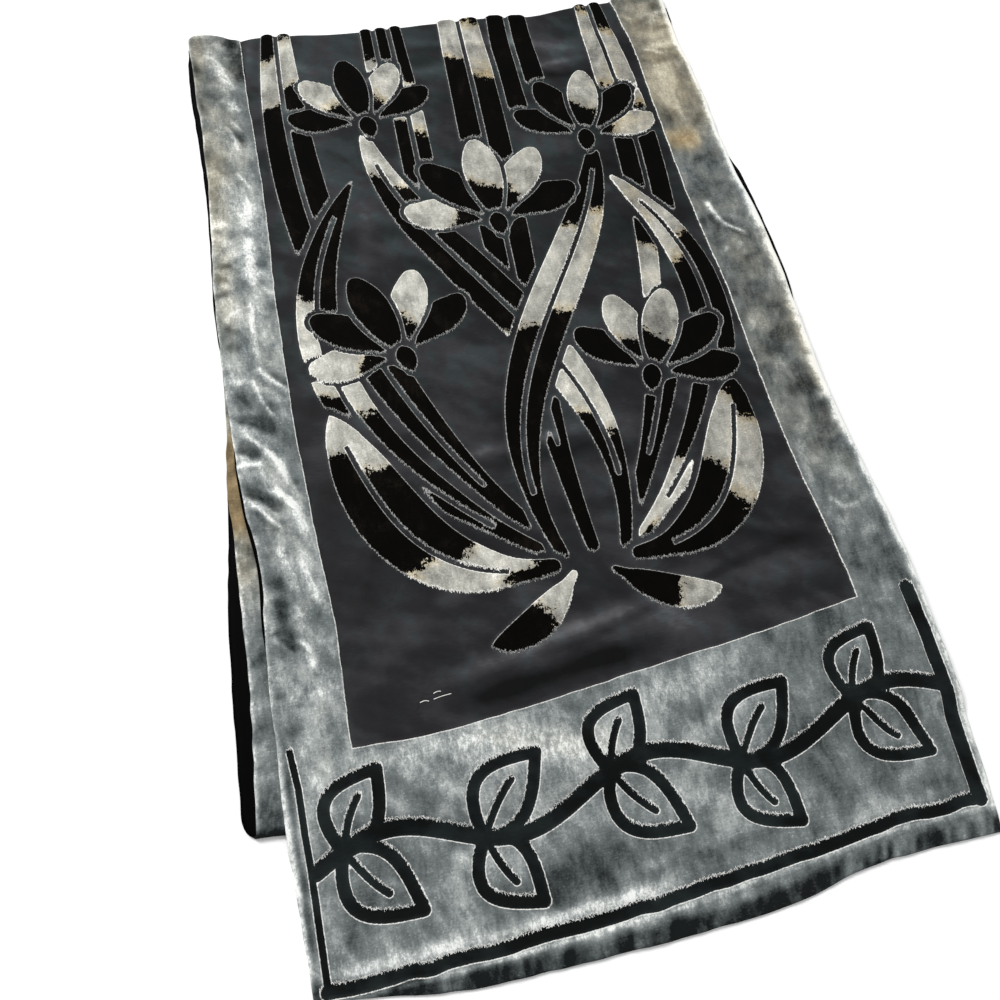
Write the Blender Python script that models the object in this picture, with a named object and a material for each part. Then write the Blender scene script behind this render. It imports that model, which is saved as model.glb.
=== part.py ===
"""Evening stole of voided velvet with a black lining, folded in three and lying flat.

Metres, +Z up. X runs across the stole and Y along it: the front's hem is at -Y, and the stole folds over itself at +Y.
From the top down lie the front (face up), then the other end (face up, turned up from the fold in front), then the
stretch that joins them (face down, so its lining is up). The origin is on the surface, under the middle of the stole.
"""

import math
from collections import namedtuple

import bmesh
import bpy
import numpy as np

MM = 0.001

# Layers, by their height above the surface.
WALL = 1.6 * MM  # the velvet's ground with the lining behind it
PILE = 1.0 * MM  # what the pile stands above the ground
GAP = 0.3 * MM  # between layers that touch
LINING_LOW = WALL + GAP
LINING_TOP = LINING_LOW + 1.0 * MM
TURNED_LOW = LINING_TOP + GAP  # the turned-up end lies on the lining
TURNED_TOP = TURNED_LOW + 2.4 * MM
ROLL_RADIUS = 4.2 * MM  # of the roll at the back, without its pile

# Places along the stole, from the hem.
FRONT_FOLD = 107 * MM  # where the hidden layers turn up
TURNED_END = 537 * MM  # where the turned-up end stops
HIDDEN_BACK = 785 * MM  # where the hidden layers meet the front's underlap
LINING_FRONT = FRONT_FOLD + 8 * MM
LINING_BACK = {"left": 830 * MM, "right": 822 * MM}

# The middle of the whole, from the hem and from the middle of the front: the origin.
MIDDLE_ACROSS = -12.6 * MM
MIDDLE_ALONG = 414.5 * MM

# Where the front climbs on to the hidden layers, and where it comes down past the turned-up end.
CLIMB = (80 * MM, 104 * MM)
DESCENT = (552 * MM, 590 * MM)
ROLL_RISE = 34 * MM  # over which the front rises to the roll

SIDE_ROUND = 1.0 * MM  # how far a wall's top and bottom stop short of its turned edge
STEP_OUT = 0.4 * MM  # the foot and the top of the pile's wall, from the field's line
STEP_IN = 0.8 * MM
TUCK = 9.0 * MM  # how far the lining's strips go in under the layer above
SLOT_END = 1.6 * MM  # past a strip's hidden edge

# The front: its two edges and the field's two sides.
FrontSection = namedtuple("FrontSection", "along left field_left field_right right")
FRONT = [
    FrontSection(-0.016, -0.2455, -0.1960, 0.1970, 0.2410),
    FrontSection(0.020, -0.2460, -0.1960, 0.1970, 0.2425),
    FrontSection(0.060, -0.2470, -0.1960, 0.1970, 0.2455),
    FrontSection(0.107, -0.2483, -0.1960, 0.1970, 0.2472),
    FrontSection(0.150, -0.2470, -0.1960, 0.1970, 0.2487),
    FrontSection(0.200, -0.2465, -0.1945, 0.1970, 0.2497),
    FrontSection(0.245, -0.2445, -0.1933, 0.1940, 0.2490),
    FrontSection(0.295, -0.2408, -0.1960, 0.1892, 0.2443),
    FrontSection(0.345, -0.2467, -0.1980, 0.1868, 0.2412),
    FrontSection(0.400, -0.2488, -0.1995, 0.1860, 0.2400),
    FrontSection(0.475, -0.2495, -0.1995, 0.1860, 0.2425),
    FrontSection(0.550, -0.2480, -0.1980, 0.1820, 0.2410),
    FrontSection(0.600, -0.2450, -0.1960, 0.1820, 0.2375),
    FrontSection(0.650, -0.2418, -0.1945, 0.1820, 0.2330),
    FrontSection(0.700, -0.2405, -0.1945, 0.1820, 0.2345),
    FrontSection(0.775, -0.2412, -0.1948, 0.1815, 0.2300),
    FrontSection(0.845, -0.2412, -0.1925, 0.1710, 0.2290),
]

# The hidden layers: the face-down stretch's edges, and the turned-up end's left edge over it.
HiddenSection = namedtuple("HiddenSection", "along left turned_left right")
HIDDEN = [
    HiddenSection(0.107, -0.2705, -0.2685, 0.2395),
    HiddenSection(0.114, -0.2742, -0.2672, 0.2420),
    HiddenSection(0.135, -0.2750, -0.2658, 0.2435),
    HiddenSection(0.170, -0.2738, -0.2625, 0.2445),
    HiddenSection(0.220, -0.2713, -0.2598, 0.2450),
    HiddenSection(0.270, -0.2680, -0.2588, 0.2425),
    HiddenSection(0.320, -0.2620, -0.2580, 0.2390),
    HiddenSection(0.370, -0.2570, -0.2575, 0.2370),
    HiddenSection(0.425, -0.2515, -0.2520, 0.2385),
    HiddenSection(0.475, -0.2498, -0.2490, 0.2435),
    HiddenSection(0.530, -0.2500, -0.2470, 0.2430),
    HiddenSection(0.600, -0.2463, -0.2450, 0.2385),
    HiddenSection(0.650, -0.2440, -0.2430, 0.2320),
    HiddenSection(0.700, -0.2440, -0.2430, 0.2325),
    HiddenSection(0.775, -0.2453, -0.2440, 0.2295),
    HiddenSection(0.830, -0.2440, -0.2430, 0.2300),
]

# Lines that run across the front.
Point = namedtuple("Point", "across along")
HEM = [
    Point(-0.246, 0.0005),
    Point(-0.200, -0.0060),
    Point(-0.150, -0.0135),
    Point(-0.080, -0.0150),
    Point(0.020, -0.0145),
    Point(0.085, -0.0110),
    Point(0.130, -0.0020),
    Point(0.180, 0.0012),
    Point(0.242, 0.0005),
]
FIELD_FOOT = [
    Point(-0.245, 0.1530),
    Point(-0.196, 0.1520),
    Point(-0.150, 0.1500),
    Point(-0.090, 0.1530),
    Point(0.030, 0.1650),
    Point(0.120, 0.1740),
    Point(0.197, 0.1845),
    Point(0.248, 0.1900),
]
BACK = [
    Point(-0.242, 0.8425),
    Point(-0.215, 0.8440),
    Point(-0.200, 0.8290),
    Point(-0.183, 0.8310),
    Point(-0.145, 0.8290),
    Point(-0.110, 0.8255),
    Point(0.000, 0.8250),
    Point(0.050, 0.8255),
    Point(0.090, 0.8205),
    Point(0.130, 0.8270),
    Point(0.182, 0.8300),
    Point(0.229, 0.8340),
]

# The front's folds: soft ridges, or troughs where the height is negative, turned from X by so many degrees.
Fold = namedtuple("Fold", "name across along turn length width height")
FOLDS = [
    Fold("left border, long ridge", -0.218, 0.530, 90, 0.140, 0.014, 1.3 * MM),
    Fold("left border, far ridge", -0.215, 0.725, 78, 0.110, 0.014, 1.0 * MM),
    Fold("left border, upper pucker", -0.226, 0.352, -35, 0.046, 0.014, 1.4 * MM),
    Fold("left border, lower pucker", -0.222, 0.318, -50, 0.050, 0.015, 1.4 * MM),
    Fold("left border, dip", -0.229, 0.275, 80, 0.050, 0.014, -1.0 * MM),
    Fold("right border, wave", 0.210, 0.541, -40, 0.050, 0.016, 1.0 * MM),
    Fold("right border, dip", 0.215, 0.390, 85, 0.100, 0.022, -0.8 * MM),
    Fold("field, far right wave", 0.095, 0.765, 8, 0.150, 0.034, 0.9 * MM),
    Fold("field, far right trough", 0.085, 0.722, 12, 0.150, 0.034, -0.5 * MM),
    Fold("field, left wave", -0.120, 0.330, -24, 0.160, 0.040, 0.8 * MM),
    Fold("end panel, wave", -0.020, 0.062, 14, 0.260, 0.040, 0.9 * MM),
    Fold("end panel, dip", 0.120, 0.105, 16, 0.160, 0.036, -0.7 * MM),
]

# The front's mesh: lines of points as shares of a border's and of the field's width, and its rows.
BORDER_SHARES = (0.0, 0.12, 0.30, 0.48, 0.66, 0.83)
FIELD_COLUMNS = 12
END_PANEL_SHARES = (0.0, 0.01, 0.06, 0.14, 0.24, 0.34, 0.44, 0.51, 0.56, 0.61, 0.66, 0.73, 0.82, 0.91, 1.0)
FIELD_ROWS = 46
ROLL_STEPS = 7
HIDDEN_ROWS = 34
LINING_ROWS = 40

VELVET = ("velvet", (0.18, 0.21, 0.22, 1.0), 0.75)
LINING_CLOTH = ("lining cloth", (0.008, 0.008, 0.009, 1.0), 0.65)

# A line of points along the front: a share of the way from one guide to another, and its shift across.
Column = namedtuple("Column", "start end share shift piled")


def smooth_curve(places, values, place):
    """The value at a place, on a cubic through the table's values."""
    place = min(max(place, places[0]), places[-1])
    k = min(int(np.searchsorted(places, place, "right")) - 1, len(places) - 2)
    slopes = np.gradient(values, places)
    span = places[k + 1] - places[k]
    t = (place - places[k]) / span
    ends = values[k] * (1 + 2 * t) * (1 - t) ** 2 + values[k + 1] * t * t * (3 - 2 * t)
    return float(ends + span * t * (1 - t) * (slopes[k] * (1 - t) - slopes[k + 1] * t))


def edge_at(sections, edge, along):
    places = [section.along for section in sections]
    return smooth_curve(places, [getattr(section, edge) for section in sections], along)


def line_at(line, across):
    return float(np.interp(across, [p.across for p in line], [p.along for p in line]))


def ramp(value, start, end):
    """0 up to start, 1 from end on, and smooth between."""
    t = min(max((value - start) / (end - start), 0.0), 1.0)
    return t * t * (3 - 2 * t)


def roll_axis_at(across):
    """How far along the roll's axis lies: the back's line is what the roll's pile reaches."""
    return line_at(BACK, across) - ROLL_RADIUS - PILE


def front_underside(across, along):
    """Height of the front's inner face: flat on the surface, then over the layers beneath it."""
    on_turned_end = TURNED_TOP + GAP
    in_roll = 2 * ROLL_RADIUS - WALL
    roll_axis = roll_axis_at(across)
    height = on_turned_end * ramp(along, *CLIMB)
    height -= (on_turned_end - TURNED_LOW) * ramp(along, *DESCENT)
    height += (in_roll - TURNED_LOW) * ramp(along, roll_axis - ROLL_RISE, roll_axis)
    return height


def fold_height(across, along):
    """What all the folds add at a place on the front."""
    total = 0.0
    for fold in FOLDS:
        turn = math.radians(fold.turn)
        dx = across - fold.across
        dy = along - fold.along
        lengthwise = (dx * math.cos(turn) + dy * math.sin(turn)) / (fold.length / 2)
        crosswise = (dy * math.cos(turn) - dx * math.sin(turn)) / (fold.width / 2)
        total += fold.height * math.exp(-(lengthwise**4) - crosswise**2)
    return total


def front_columns():
    """The front's lines of points, left to right. Two close ones make the pile's wall at each side of the field."""
    left = [Column("left", "field_left", share, SIDE_ROUND * (1 - share), True) for share in BORDER_SHARES]
    left += [Column("field_left", "field_left", 0.0, -STEP_OUT, True)]
    left += [Column("field_left", "field_left", 0.0, STEP_IN, False)]
    shares = [k / FIELD_COLUMNS for k in range(1, FIELD_COLUMNS)]
    field = [Column("field_left", "field_right", share, 0.0, False) for share in shares]
    right = [Column("field_right", "field_right", 0.0, -STEP_IN, False)]
    right += [Column("field_right", "field_right", 0.0, STEP_OUT, True)]
    for share in reversed(BORDER_SHARES):
        right.append(Column("right", "field_right", share, -SIDE_ROUND * (1 - share), True))
    return left + field + right


def column_across(column, along):
    start = edge_at(FRONT, column.start, along)
    end = edge_at(FRONT, column.end, along)
    return start + (end - start) * column.share + column.shift


def closed_ring(top, under):
    """Top points left to right, a round right edge, the underside back again and a round left edge."""
    edges = []
    for end, outwards in ((-1, SIDE_ROUND), (0, -SIDE_ROUND)):
        middle = (np.array(top[end]) + np.array(under[end])) / 2
        edges.append((top[end][0] + outwards, middle[1], middle[2]))
    return top + [edges[0]] + under[::-1] + [edges[1]]


def front_ring(row_at, whole_row_piled, fullness=1.0):
    """A section of the front. row_at gives its distance along, for a distance across; a low fullness rounds the hem."""
    top, under = [], []
    for column in front_columns():
        along = row_at(column_across(column, row_at(0.0)))
        across = column_across(column, along)
        along = row_at(across)
        low = front_underside(across, along)
        thick = WALL + fold_height(across, along)
        if column.piled or whole_row_piled:
            thick += PILE
        spare = thick * (1 - fullness) / 2
        top.append((across, along, low + thick - spare))
        under.append((across, along, low + spare))
    return closed_ring(top, under)


def roll_ring(angle):
    """A section of the back roll, turned down from its top by an angle; its pile is pressed flat underneath."""
    standing = 1 - ramp(angle, math.pi / 2, math.pi)
    inner = ROLL_RADIUS - WALL
    top, under = [], []
    for column in front_columns():
        across = column_across(column, line_at(BACK, column_across(column, HIDDEN_BACK)))
        axis = roll_axis_at(across)
        outer = ROLL_RADIUS + fold_height(across, axis) * standing
        if column.piled:
            outer += PILE * standing
        top.append((across, axis + outer * math.sin(angle), ROLL_RADIUS + outer * math.cos(angle)))
        under.append((across, axis + inner * math.sin(angle), ROLL_RADIUS + inner * math.cos(angle)))
    return closed_ring(top, under)


def underlap_ring(share):
    """A section of the flat stretch under the roll, a share of the way forward to the hidden layers."""
    top, under = [], []
    for column in front_columns():
        across = column_across(column, line_at(BACK, column_across(column, HIDDEN_BACK)))
        axis = roll_axis_at(across)
        along = axis + (HIDDEN_BACK + GAP - axis) * share
        top.append((across, along, 0.0))
        under.append((across, along, WALL))
    return closed_ring(top, under)


def end_panel_row(across, share):
    hem = line_at(HEM, across)
    return hem + (line_at(FIELD_FOOT, across) - STEP_OUT - hem) * share


def field_row(across, share):
    foot = line_at(FIELD_FOOT, across) + STEP_IN
    return foot + (roll_axis_at(across) - foot) * share


def front_rings():
    rings = []
    for share in END_PANEL_SHARES:
        fullness = 0.45 if share == 0.0 else 1.0
        rings.append(front_ring(lambda across, s=share: end_panel_row(across, s), True, fullness))
    for k in range(FIELD_ROWS + 1):
        rings.append(front_ring(lambda across, s=k / FIELD_ROWS: field_row(across, s), False))
    rings += [roll_ring(math.pi * k / ROLL_STEPS) for k in range(1, ROLL_STEPS + 1)]
    rings += [underlap_ring(share) for share in (0.5, 1.0)]
    return rings


def lining_edges(side, along):
    """(outer, inner) edge of the strip of lining that shows at one side."""
    outer = edge_at(HIDDEN, side, along)
    over = edge_at(FRONT, side, along)
    if side == "left":
        return outer + 0.8 * MM, max(over, edge_at(HIDDEN, "turned_left", along)) + TUCK
    return outer - 0.8 * MM, min(over, outer) - TUCK


def lining_rings(side):
    rings = []
    for along in np.linspace(LINING_FRONT, LINING_BACK[side], LINING_ROWS):
        low, high = sorted(lining_edges(side, float(along)))
        top = [(x, float(along), LINING_TOP) for x in (low + SIDE_ROUND / 3, high - SIDE_ROUND / 3)]
        under = [(x, y, LINING_LOW) for x, y, _ in top]
        rings.append(closed_ring(top, under))
    return rings


def hidden_ring(along, fullness=1.0, slot_share=1.0):
    """A section of the hidden layers: the face-down layer, the slots that hold the lining, and what lies over them.

    Towards the fold in front, a low fullness flattens the section about its middle and the slots close.
    """
    over_lining = 1 - ramp(along, TURNED_END - 8 * MM, TURNED_END)
    raised = 1 - ramp(along, TURNED_END, TURNED_END + 8 * MM)
    roof = WALL + 0.4 * MM + (TURNED_LOW - WALL - 0.4 * MM) * raised
    top = LINING_TOP + (TURNED_TOP - LINING_TOP) * raised
    sides = []
    for side, inwards in (("left", 1), ("right", -1)):
        edge = edge_at(HIDDEN, side, along)
        slot = lining_edges(side, along)[1] + SLOT_END * inwards
        turned = edge_at(HIDDEN, "turned_left", along) if side == "left" else edge - 2 * MM
        over = slot + (turned - slot) * over_lining
        mouth = edge + 1.4 * MM * inwards
        slot = mouth + (slot - mouth) * slot_share
        sides.append(
            [
                (edge + 0.7 * MM * inwards, 0.0),
                (edge, WALL / 2),
                (edge + 0.6 * MM * inwards, WALL),
                (slot, WALL),
                (slot, roof),
                (over + 0.6 * MM * inwards, roof + 0.1 * MM),
                (over, (roof + top) / 2),
                (over + 0.8 * MM * inwards, top),
            ]
        )
    middle = TURNED_TOP / 2
    outline = sides[0] + sides[1][::-1]
    return [(x, along, middle + (z - middle) * fullness) for x, z in outline]


def hidden_rings():
    rings = []
    radius = TURNED_TOP / 2
    for degrees in (20, 45, 70, 90):
        turn = math.radians(degrees)
        rings.append(hidden_ring(FRONT_FOLD + radius * (1 - math.cos(turn)), math.sin(turn), 0.0))
    rings.append(hidden_ring(LINING_FRONT - 1 * MM))
    places = list(np.linspace(LINING_FRONT + 6 * MM, HIDDEN_BACK, HIDDEN_ROWS))
    ends = [TURNED_END + step * MM for step in (-8, -4, 0, 4, 8)]
    places = [p for p in places if abs(p - TURNED_END) > 12 * MM] + ends
    rings += [hidden_ring(float(place)) for place in sorted(places)]
    return rings


def material_of(look):
    name, colour, roughness = look
    material = bpy.data.materials.get(name) or bpy.data.materials.new(name)
    material.use_nodes = True
    shader = material.node_tree.nodes["Principled BSDF"]
    shader.inputs["Base Color"].default_value = colour
    shader.inputs["Roughness"].default_value = roughness
    return material


def loft(name, rings, look, collection, zipped):
    """One closed solid through the rings. Its ends are zipped from top to underside, or each is one flat face."""
    cloth = bmesh.new()
    shift = np.array((MIDDLE_ACROSS, MIDDLE_ALONG, 0.0))
    loops = [[cloth.verts.new(np.array(point) - shift) for point in ring] for ring in rings]
    count = len(loops[0])
    for near, far in zip(loops, loops[1:]):
        for k in range(count):
            n = (k + 1) % count
            cloth.faces.new((near[k], near[n], far[n], far[k]))
    for loop in (loops[0], loops[-1]):
        if not zipped:
            cloth.faces.new(loop)
            continue
        half = count // 2 - 1
        top, under = loop[:half], loop[half + 1 : -1][::-1]
        for k in range(half - 1):
            cloth.faces.new((top[k], top[k + 1], under[k + 1], under[k]))
        cloth.faces.new((top[-1], loop[half], under[-1]))
        cloth.faces.new((under[0], loop[-1], top[0]))
    bmesh.ops.recalc_face_normals(cloth, faces=cloth.faces)
    mesh = bpy.data.meshes.new(name)
    cloth.to_mesh(mesh)
    cloth.free()
    mesh.materials.append(material_of(look))
    mesh.shade_smooth()
    mesh.set_sharp_from_angle(angle=math.radians(40))
    piece = bpy.data.objects.new(name, mesh)
    collection.objects.link(piece)
    return piece


def main():
    for old in list(bpy.data.objects):
        bpy.data.objects.remove(old)
    collection = bpy.data.collections.new("evening_stole")
    bpy.context.scene.collection.children.link(collection)
    loft("front_panel", front_rings(), VELVET, collection, zipped=True)
    loft("folded_layers", hidden_rings(), VELVET, collection, zipped=False)
    loft("lining_left", lining_rings("left"), LINING_CLOTH, collection, zipped=True)
    loft("lining_right", lining_rings("right"), LINING_CLOTH, collection, zipped=True)


main()
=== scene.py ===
"""Evening stole of voided silk velvet with a black lining, folded in three and lying flat on a pale floor.

It is laid out in plan, in millimetres: across from the middle of the front, and along from its hem. Past
the top of the back roll, along goes on round the roll, as the cloth does. framed() brings it to the model's
frame.
"""

import functools
import math
from collections import namedtuple
from contextlib import contextmanager

import bmesh
import bpy
import numpy as np
from mathutils import Matrix, Vector


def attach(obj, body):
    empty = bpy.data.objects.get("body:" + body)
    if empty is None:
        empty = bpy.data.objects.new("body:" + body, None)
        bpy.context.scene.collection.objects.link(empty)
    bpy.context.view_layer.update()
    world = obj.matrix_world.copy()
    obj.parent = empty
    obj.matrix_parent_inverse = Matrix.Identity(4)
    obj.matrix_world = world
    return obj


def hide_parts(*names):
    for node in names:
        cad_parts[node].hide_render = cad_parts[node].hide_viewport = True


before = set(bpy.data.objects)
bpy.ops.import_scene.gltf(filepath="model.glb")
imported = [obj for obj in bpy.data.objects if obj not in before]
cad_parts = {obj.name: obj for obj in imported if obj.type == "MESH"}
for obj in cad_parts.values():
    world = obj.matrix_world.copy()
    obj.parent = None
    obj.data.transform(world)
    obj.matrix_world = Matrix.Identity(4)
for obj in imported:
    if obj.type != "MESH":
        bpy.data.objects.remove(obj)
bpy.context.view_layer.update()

MM = 0.001
MIDDLE_ACROSS = -12.6  # the middle of the whole folded stole, which is the model's origin
MIDDLE_ALONG = 414.5


def table(kind, *rows):
    """Rows with the named columns of their kind."""
    return [kind(*row) for row in rows]


# ---------------------------------------------------------------- the folded stole, layer by layer

WALL = 1.6  # the velvet's ground with the lining behind it
PILE = 1.2  # what the pile stands above the ground
EDGE_RADIUS = (WALL + PILE) / 2
GAP = 0.3  # between one layer and the next
TURNED_LOW = 3.2  # the turned-up end, above the lining
TURNED_TOP = 5.6
ROLL_RADIUS = 4.2  # of the back roll, to the ground's face
ROLL_LENGTH = math.pi * ROLL_RADIUS
FRONT_FOLD = 107.0  # how far along the near fold lies
TURNED_END = 537.0  # and the end that is turned up from it
HIDDEN_BACK = 785.0  # and the place where the roll's cloth goes over to the face-down stretch
CLIMB = (80.0, 104.0)  # where the front climbs on to the layers under it
DESCENT = (552.0, 590.0)  # and where it sinks again, past the turned-up end
ROLL_RISE = 34.0  # the length over which it rises to the roll
WIDE_HIGHLIGHT = (300, 360, 540, 640)  # the stretch where the right edge's painted highlight band is wider
STEP = 0.3  # half the width of the pile's wall, seen from above
SNAP_REACH = 0.85  # points nearer the pile's edge than this are moved on to it
SNAP_MOST = 0.6
SIDE_TURNS = (-90, -50, -15, 20, 55, 90)  # degrees round a turned edge, from its underside
LEFT_COLUMNS = 42  # columns of points in the left border, and then in the field and the right border
FIELD_COLUMNS = 236
RIGHT_COLUMNS = 34
PANEL_ROWS = 97
PLAIN_SHARE = 0.045  # of the field's length, next to its foot, has no pattern
PLAIN_ROWS = 12
CUT_ROWS = 372
FIELD_FIRST = len(SIDE_TURNS) + LEFT_COLUMNS  # the columns and the row that the field starts and ends at
FIELD_LAST = FIELD_FIRST + FIELD_COLUMNS - 1
FOOT_ROW = len(SIDE_TURNS) + PANEL_ROWS

# The front: its two edges and the field's two sides.
FrontSection = namedtuple("FrontSection", "along left field_left field_right right")
FRONT = table(
    FrontSection,
    (-16, -245.5, -196, 197, 241), (20, -246, -196, 197, 243.5), (60, -247, -196, 197, 247.5),
    (107, -248.3, -196, 197, 249.4), (150, -247, -196, 197, 250.4), (200, -246.5, -194.5, 197, 250.6),
    (245, -244.5, -193.3, 194, 249), (295, -240.8, -196, 189.2, 244.3), (345, -246.7, -198, 186.8, 241.2),
    (400, -248.8, -199.5, 186, 240), (475, -249.5, -199.5, 186, 241.4), (550, -248, -198, 182, 239.2),
    (600, -245, -196, 182, 236.2), (650, -241.8, -194.5, 182, 234), (700, -240.5, -194.5, 182, 234.5),
    (775, -241.2, -194.8, 181.5, 230), (845, -241.2, -192.5, 171, 229),
)
# The small waves of those four hand-sewn lines: how far they swing, their size and their seed.
WAVES = {
    "left": (0.5, 13, 1),
    "field_left": (0.35, 9, 3),
    "field_right": (0.35, 9, 4),
    "right": (0.5, 13, 2),
}

# The hidden layers: the face-down stretch's edges, and the turned-up end's left edge over it.
HiddenSection = namedtuple("HiddenSection", "along left turned_left right")
HIDDEN = table(
    HiddenSection,
    (107, -270.5, -268.5, 239.5), (114, -274.2, -267.2, 242), (135, -275, -265.8, 243.5),
    (170, -273.8, -262.5, 244.5), (220, -271.3, -259.8, 245), (270, -268, -258.8, 242.5),
    (320, -262, -258, 239), (370, -257, -257.5, 237), (425, -251.5, -252, 238.5),
    (475, -249.8, -249, 243.5), (530, -250, -247, 243), (600, -246.3, -245, 238.5), (650, -244, -243, 232),
    (700, -244, -243, 232.5), (775, -245.3, -244, 229.5), (830, -244, -243, 230),
)

Point = namedtuple("Point", "across along")
HEM = table(
    Point,
    (-246, 0.5), (-200, -6), (-150, -13.5), (-80, -15), (20, -14.5), (85, -11), (130, -2), (180, 1.2),
    (242, 0.5),
)
FIELD_FOOT = table(
    Point,
    (-245, 153), (-196, 152), (-150, 150), (-90, 153), (30, 165), (120, 174), (197, 184.5), (248, 190),
)
BACK = table(
    Point,
    (-243, 831.5), (-237, 837.5), (-228, 838.2), (-218, 836.5), (-209, 833), (-199, 829.5), (-183, 830.5),
    (-145, 829), (-110, 825.5), (0, 825), (50, 825), (90, 821), (130, 826.5), (182, 830), (229, 834),
)

# Soft oval places on the front, turned from across by degrees. What amount is, each table says.
Place = namedtuple("Place", "across along turn length width amount")

# Folds: ridges in millimetres of height, or troughs where it is negative.
FOLDS = table(
    Place,
    # The left border.
    (-218, 530, 90, 140, 14, 1.2), (-215, 725, 78, 110, 14, 0.9), (-230, 398, -44, 40, 18, 0.9),
    (-236, 368, -12, 26, 17, 1.4), (-219, 334, -60, 48, 20, 1.2), (-212, 296, 84, 60, 16, 0.8),
    (-232, 272, 84, 46, 13, -1),
    # The right border.
    (210, 541, -40, 50, 18, 0.9), (221, 417, 14, 30, 17, -1.1), (220, 367, 4, 40, 15, -1.1),
    (212, 392, 0, 44, 14, 0.8), (212, 262, 60, 50, 24, 0.6), (232, 300, 84, 60, 14, -0.6),
    (206, 801, 12, 44, 9, 0.7), (208, 744, 6, 48, 10, -0.4), (206, 760, 8, 42, 9, 0.7),
    # The field.
    (95, 765, 8, 150, 34, 0.9), (85, 722, 12, 150, 34, -0.5), (-120, 330, -24, 160, 40, 0.8),
    (-165, 268, 62, 90, 16, 0.6), (-30, 196, 10, 190, 12, 0.6), (60, 212, 16, 130, 9, -0.5),
    (150, 250, -18, 90, 14, 0.7), (-168, 742, 84, 130, 14, 0.6), (108, 596, 20, 90, 12, 0.6),
    (-60, 540, -30, 110, 14, 0.5), (20, 792, -6, 120, 10, 0.6),
    # The end panel.
    (-20, 62, 14, 260, 40, 0.9), (120, 105, 16, 160, 36, -0.7), (40, 36, 6, 130, 9, 0.6),
    (-150, 112, -20, 90, 12, 0.5), (176, 66, 60, 70, 12, -0.6),
)

# Creases, as lines through points: ridges, or troughs where the height is negative. Light is the painted
# highlight that each puts on the pile, or painted shade where it is negative.
Crease = namedtuple("Crease", "points width height light")
CREASES = table(
    Crease,
    # The left border, from the roll to the hem.
    (((-203, 838), (-202.5, 815), (-201.5, 797), (-199, 765)), 14, -1.6, -1.25),
    (((-229, 822), (-220, 803), (-214, 787), (-211, 775), (-204, 760)), 8, 1, 1),
    (((-221, 759), (-212, 747), (-203, 738)), 7, 0.8, 0.9),
    (((-223, 726), (-215, 717), (-213, 705), (-209, 692), (-205, 679)), 3.2, 0.5, 0.7),
    (((-220, 725), (-212, 713), (-206, 700), (-204, 690)), 3.6, -0.4, -0.35),
    (((-214, 731), (-209, 722), (-203, 713)), 3, 0.4, 0.6),
    (((-218, 671), (-210, 659), (-204, 648)), 3.6, 0.5, 0.6),
    (((-211, 644), (-210, 622), (-213, 604)), 5, 0.5, 0.7),
    (((-216, 602), (-214, 582), (-216, 560), (-218, 535)), 8, 0.7, 1.1),
    (((-218.5, 538), (-220.8, 510), (-220.8, 480), (-220, 452)), 4, 0.8, 0.85),
    (((-221, 468), (-219, 459), (-209, 448), (-197, 436)), 4.5, 1, 0.9),
    (((-214, 460), (-206, 450), (-199, 444)), 5, -0.5, -0.5),
    (((-229, 459), (-225, 445), (-223, 435), (-218, 424), (-213, 415)), 3.4, 0.7, 0.7),
    (((-250, 420), (-236, 417), (-226, 411), (-214, 399)), 10, -1.2, -1),
    (((-243, 411), (-231, 396), (-222, 385), (-217, 377), (-214, 367), (-214, 354)), 4.8, 1.8, 1.2),
    (((-250, 395), (-240, 391), (-229, 382)), 8, -1.6, -1.1),
    (((-250, 378), (-240, 380), (-226, 378)), 4.2, 1.4, 0.9),
    (((-248, 360), (-239, 352.5), (-232, 348), (-225, 341), (-217, 332)), 7, -1.8, -1.3),
    (((-231, 357), (-217, 349), (-210, 338), (-207, 328), (-205, 318), (-200, 309)), 5.2, 1.6, 1.1),
    (((-209, 364), (-203, 348), (-201, 332)), 6, -0.7, -0.5),
    (((-243, 350), (-230, 333), (-219, 319)), 3.6, 1, 0.8),
    (((-221, 326), (-224, 302), (-220, 283), (-220, 250)), 9, 0.8, 0.65),
    (((-215, 300), (-208, 281), (-202, 258)), 5.5, 0.7, 0.8),
    (((-240, 246), (-231, 237), (-223, 224)), 7, -1.2, -1.2),
    (((-228, 236), (-218, 231), (-215, 222), (-211, 206)), 4.6, 0.9, 0.9),
    (((-222, 263), (-217, 249)), 6, 0.4, 0.6),
    (((-245.8, 158), (-246, 110), (-245.4, 60), (-244, 6)), 3, 0, 0.7),
    # The right border.
    (((197, 572), (196.6, 560), (199.2, 548), (205.7, 538), (214.4, 530.4), (224, 524)), 4.2, 1.8, 1.9),
    (((200, 547), (207, 535), (217, 523)), 5, -0.9, -0.7),
    (((201, 517), (190, 505)), 3.4, 0.4, 0.6),
    (((215, 519), (206, 509)), 3.4, 0.4, 0.5),
    (((204, 791), (213, 800), (222, 811)), 5, 0.6, 0.6),
    (((188, 759), (200, 756), (214, 750)), 4, 0.6, 0.5),
    (((204, 268), (210, 259), (218, 254)), 4, 0.4, 0.7),
    (((214, 256), (228, 258)), 4.4, 0.4, 0.6),
)
SOFT_SIDE = 1.8  # how much wider a ridge is to the right of its line than to the left; a trough, the reverse
CREASE_ENDS = (0, 0.22, 0.72, 1)  # where a crease starts, is full, sinks and ends, as shares of its length
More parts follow.
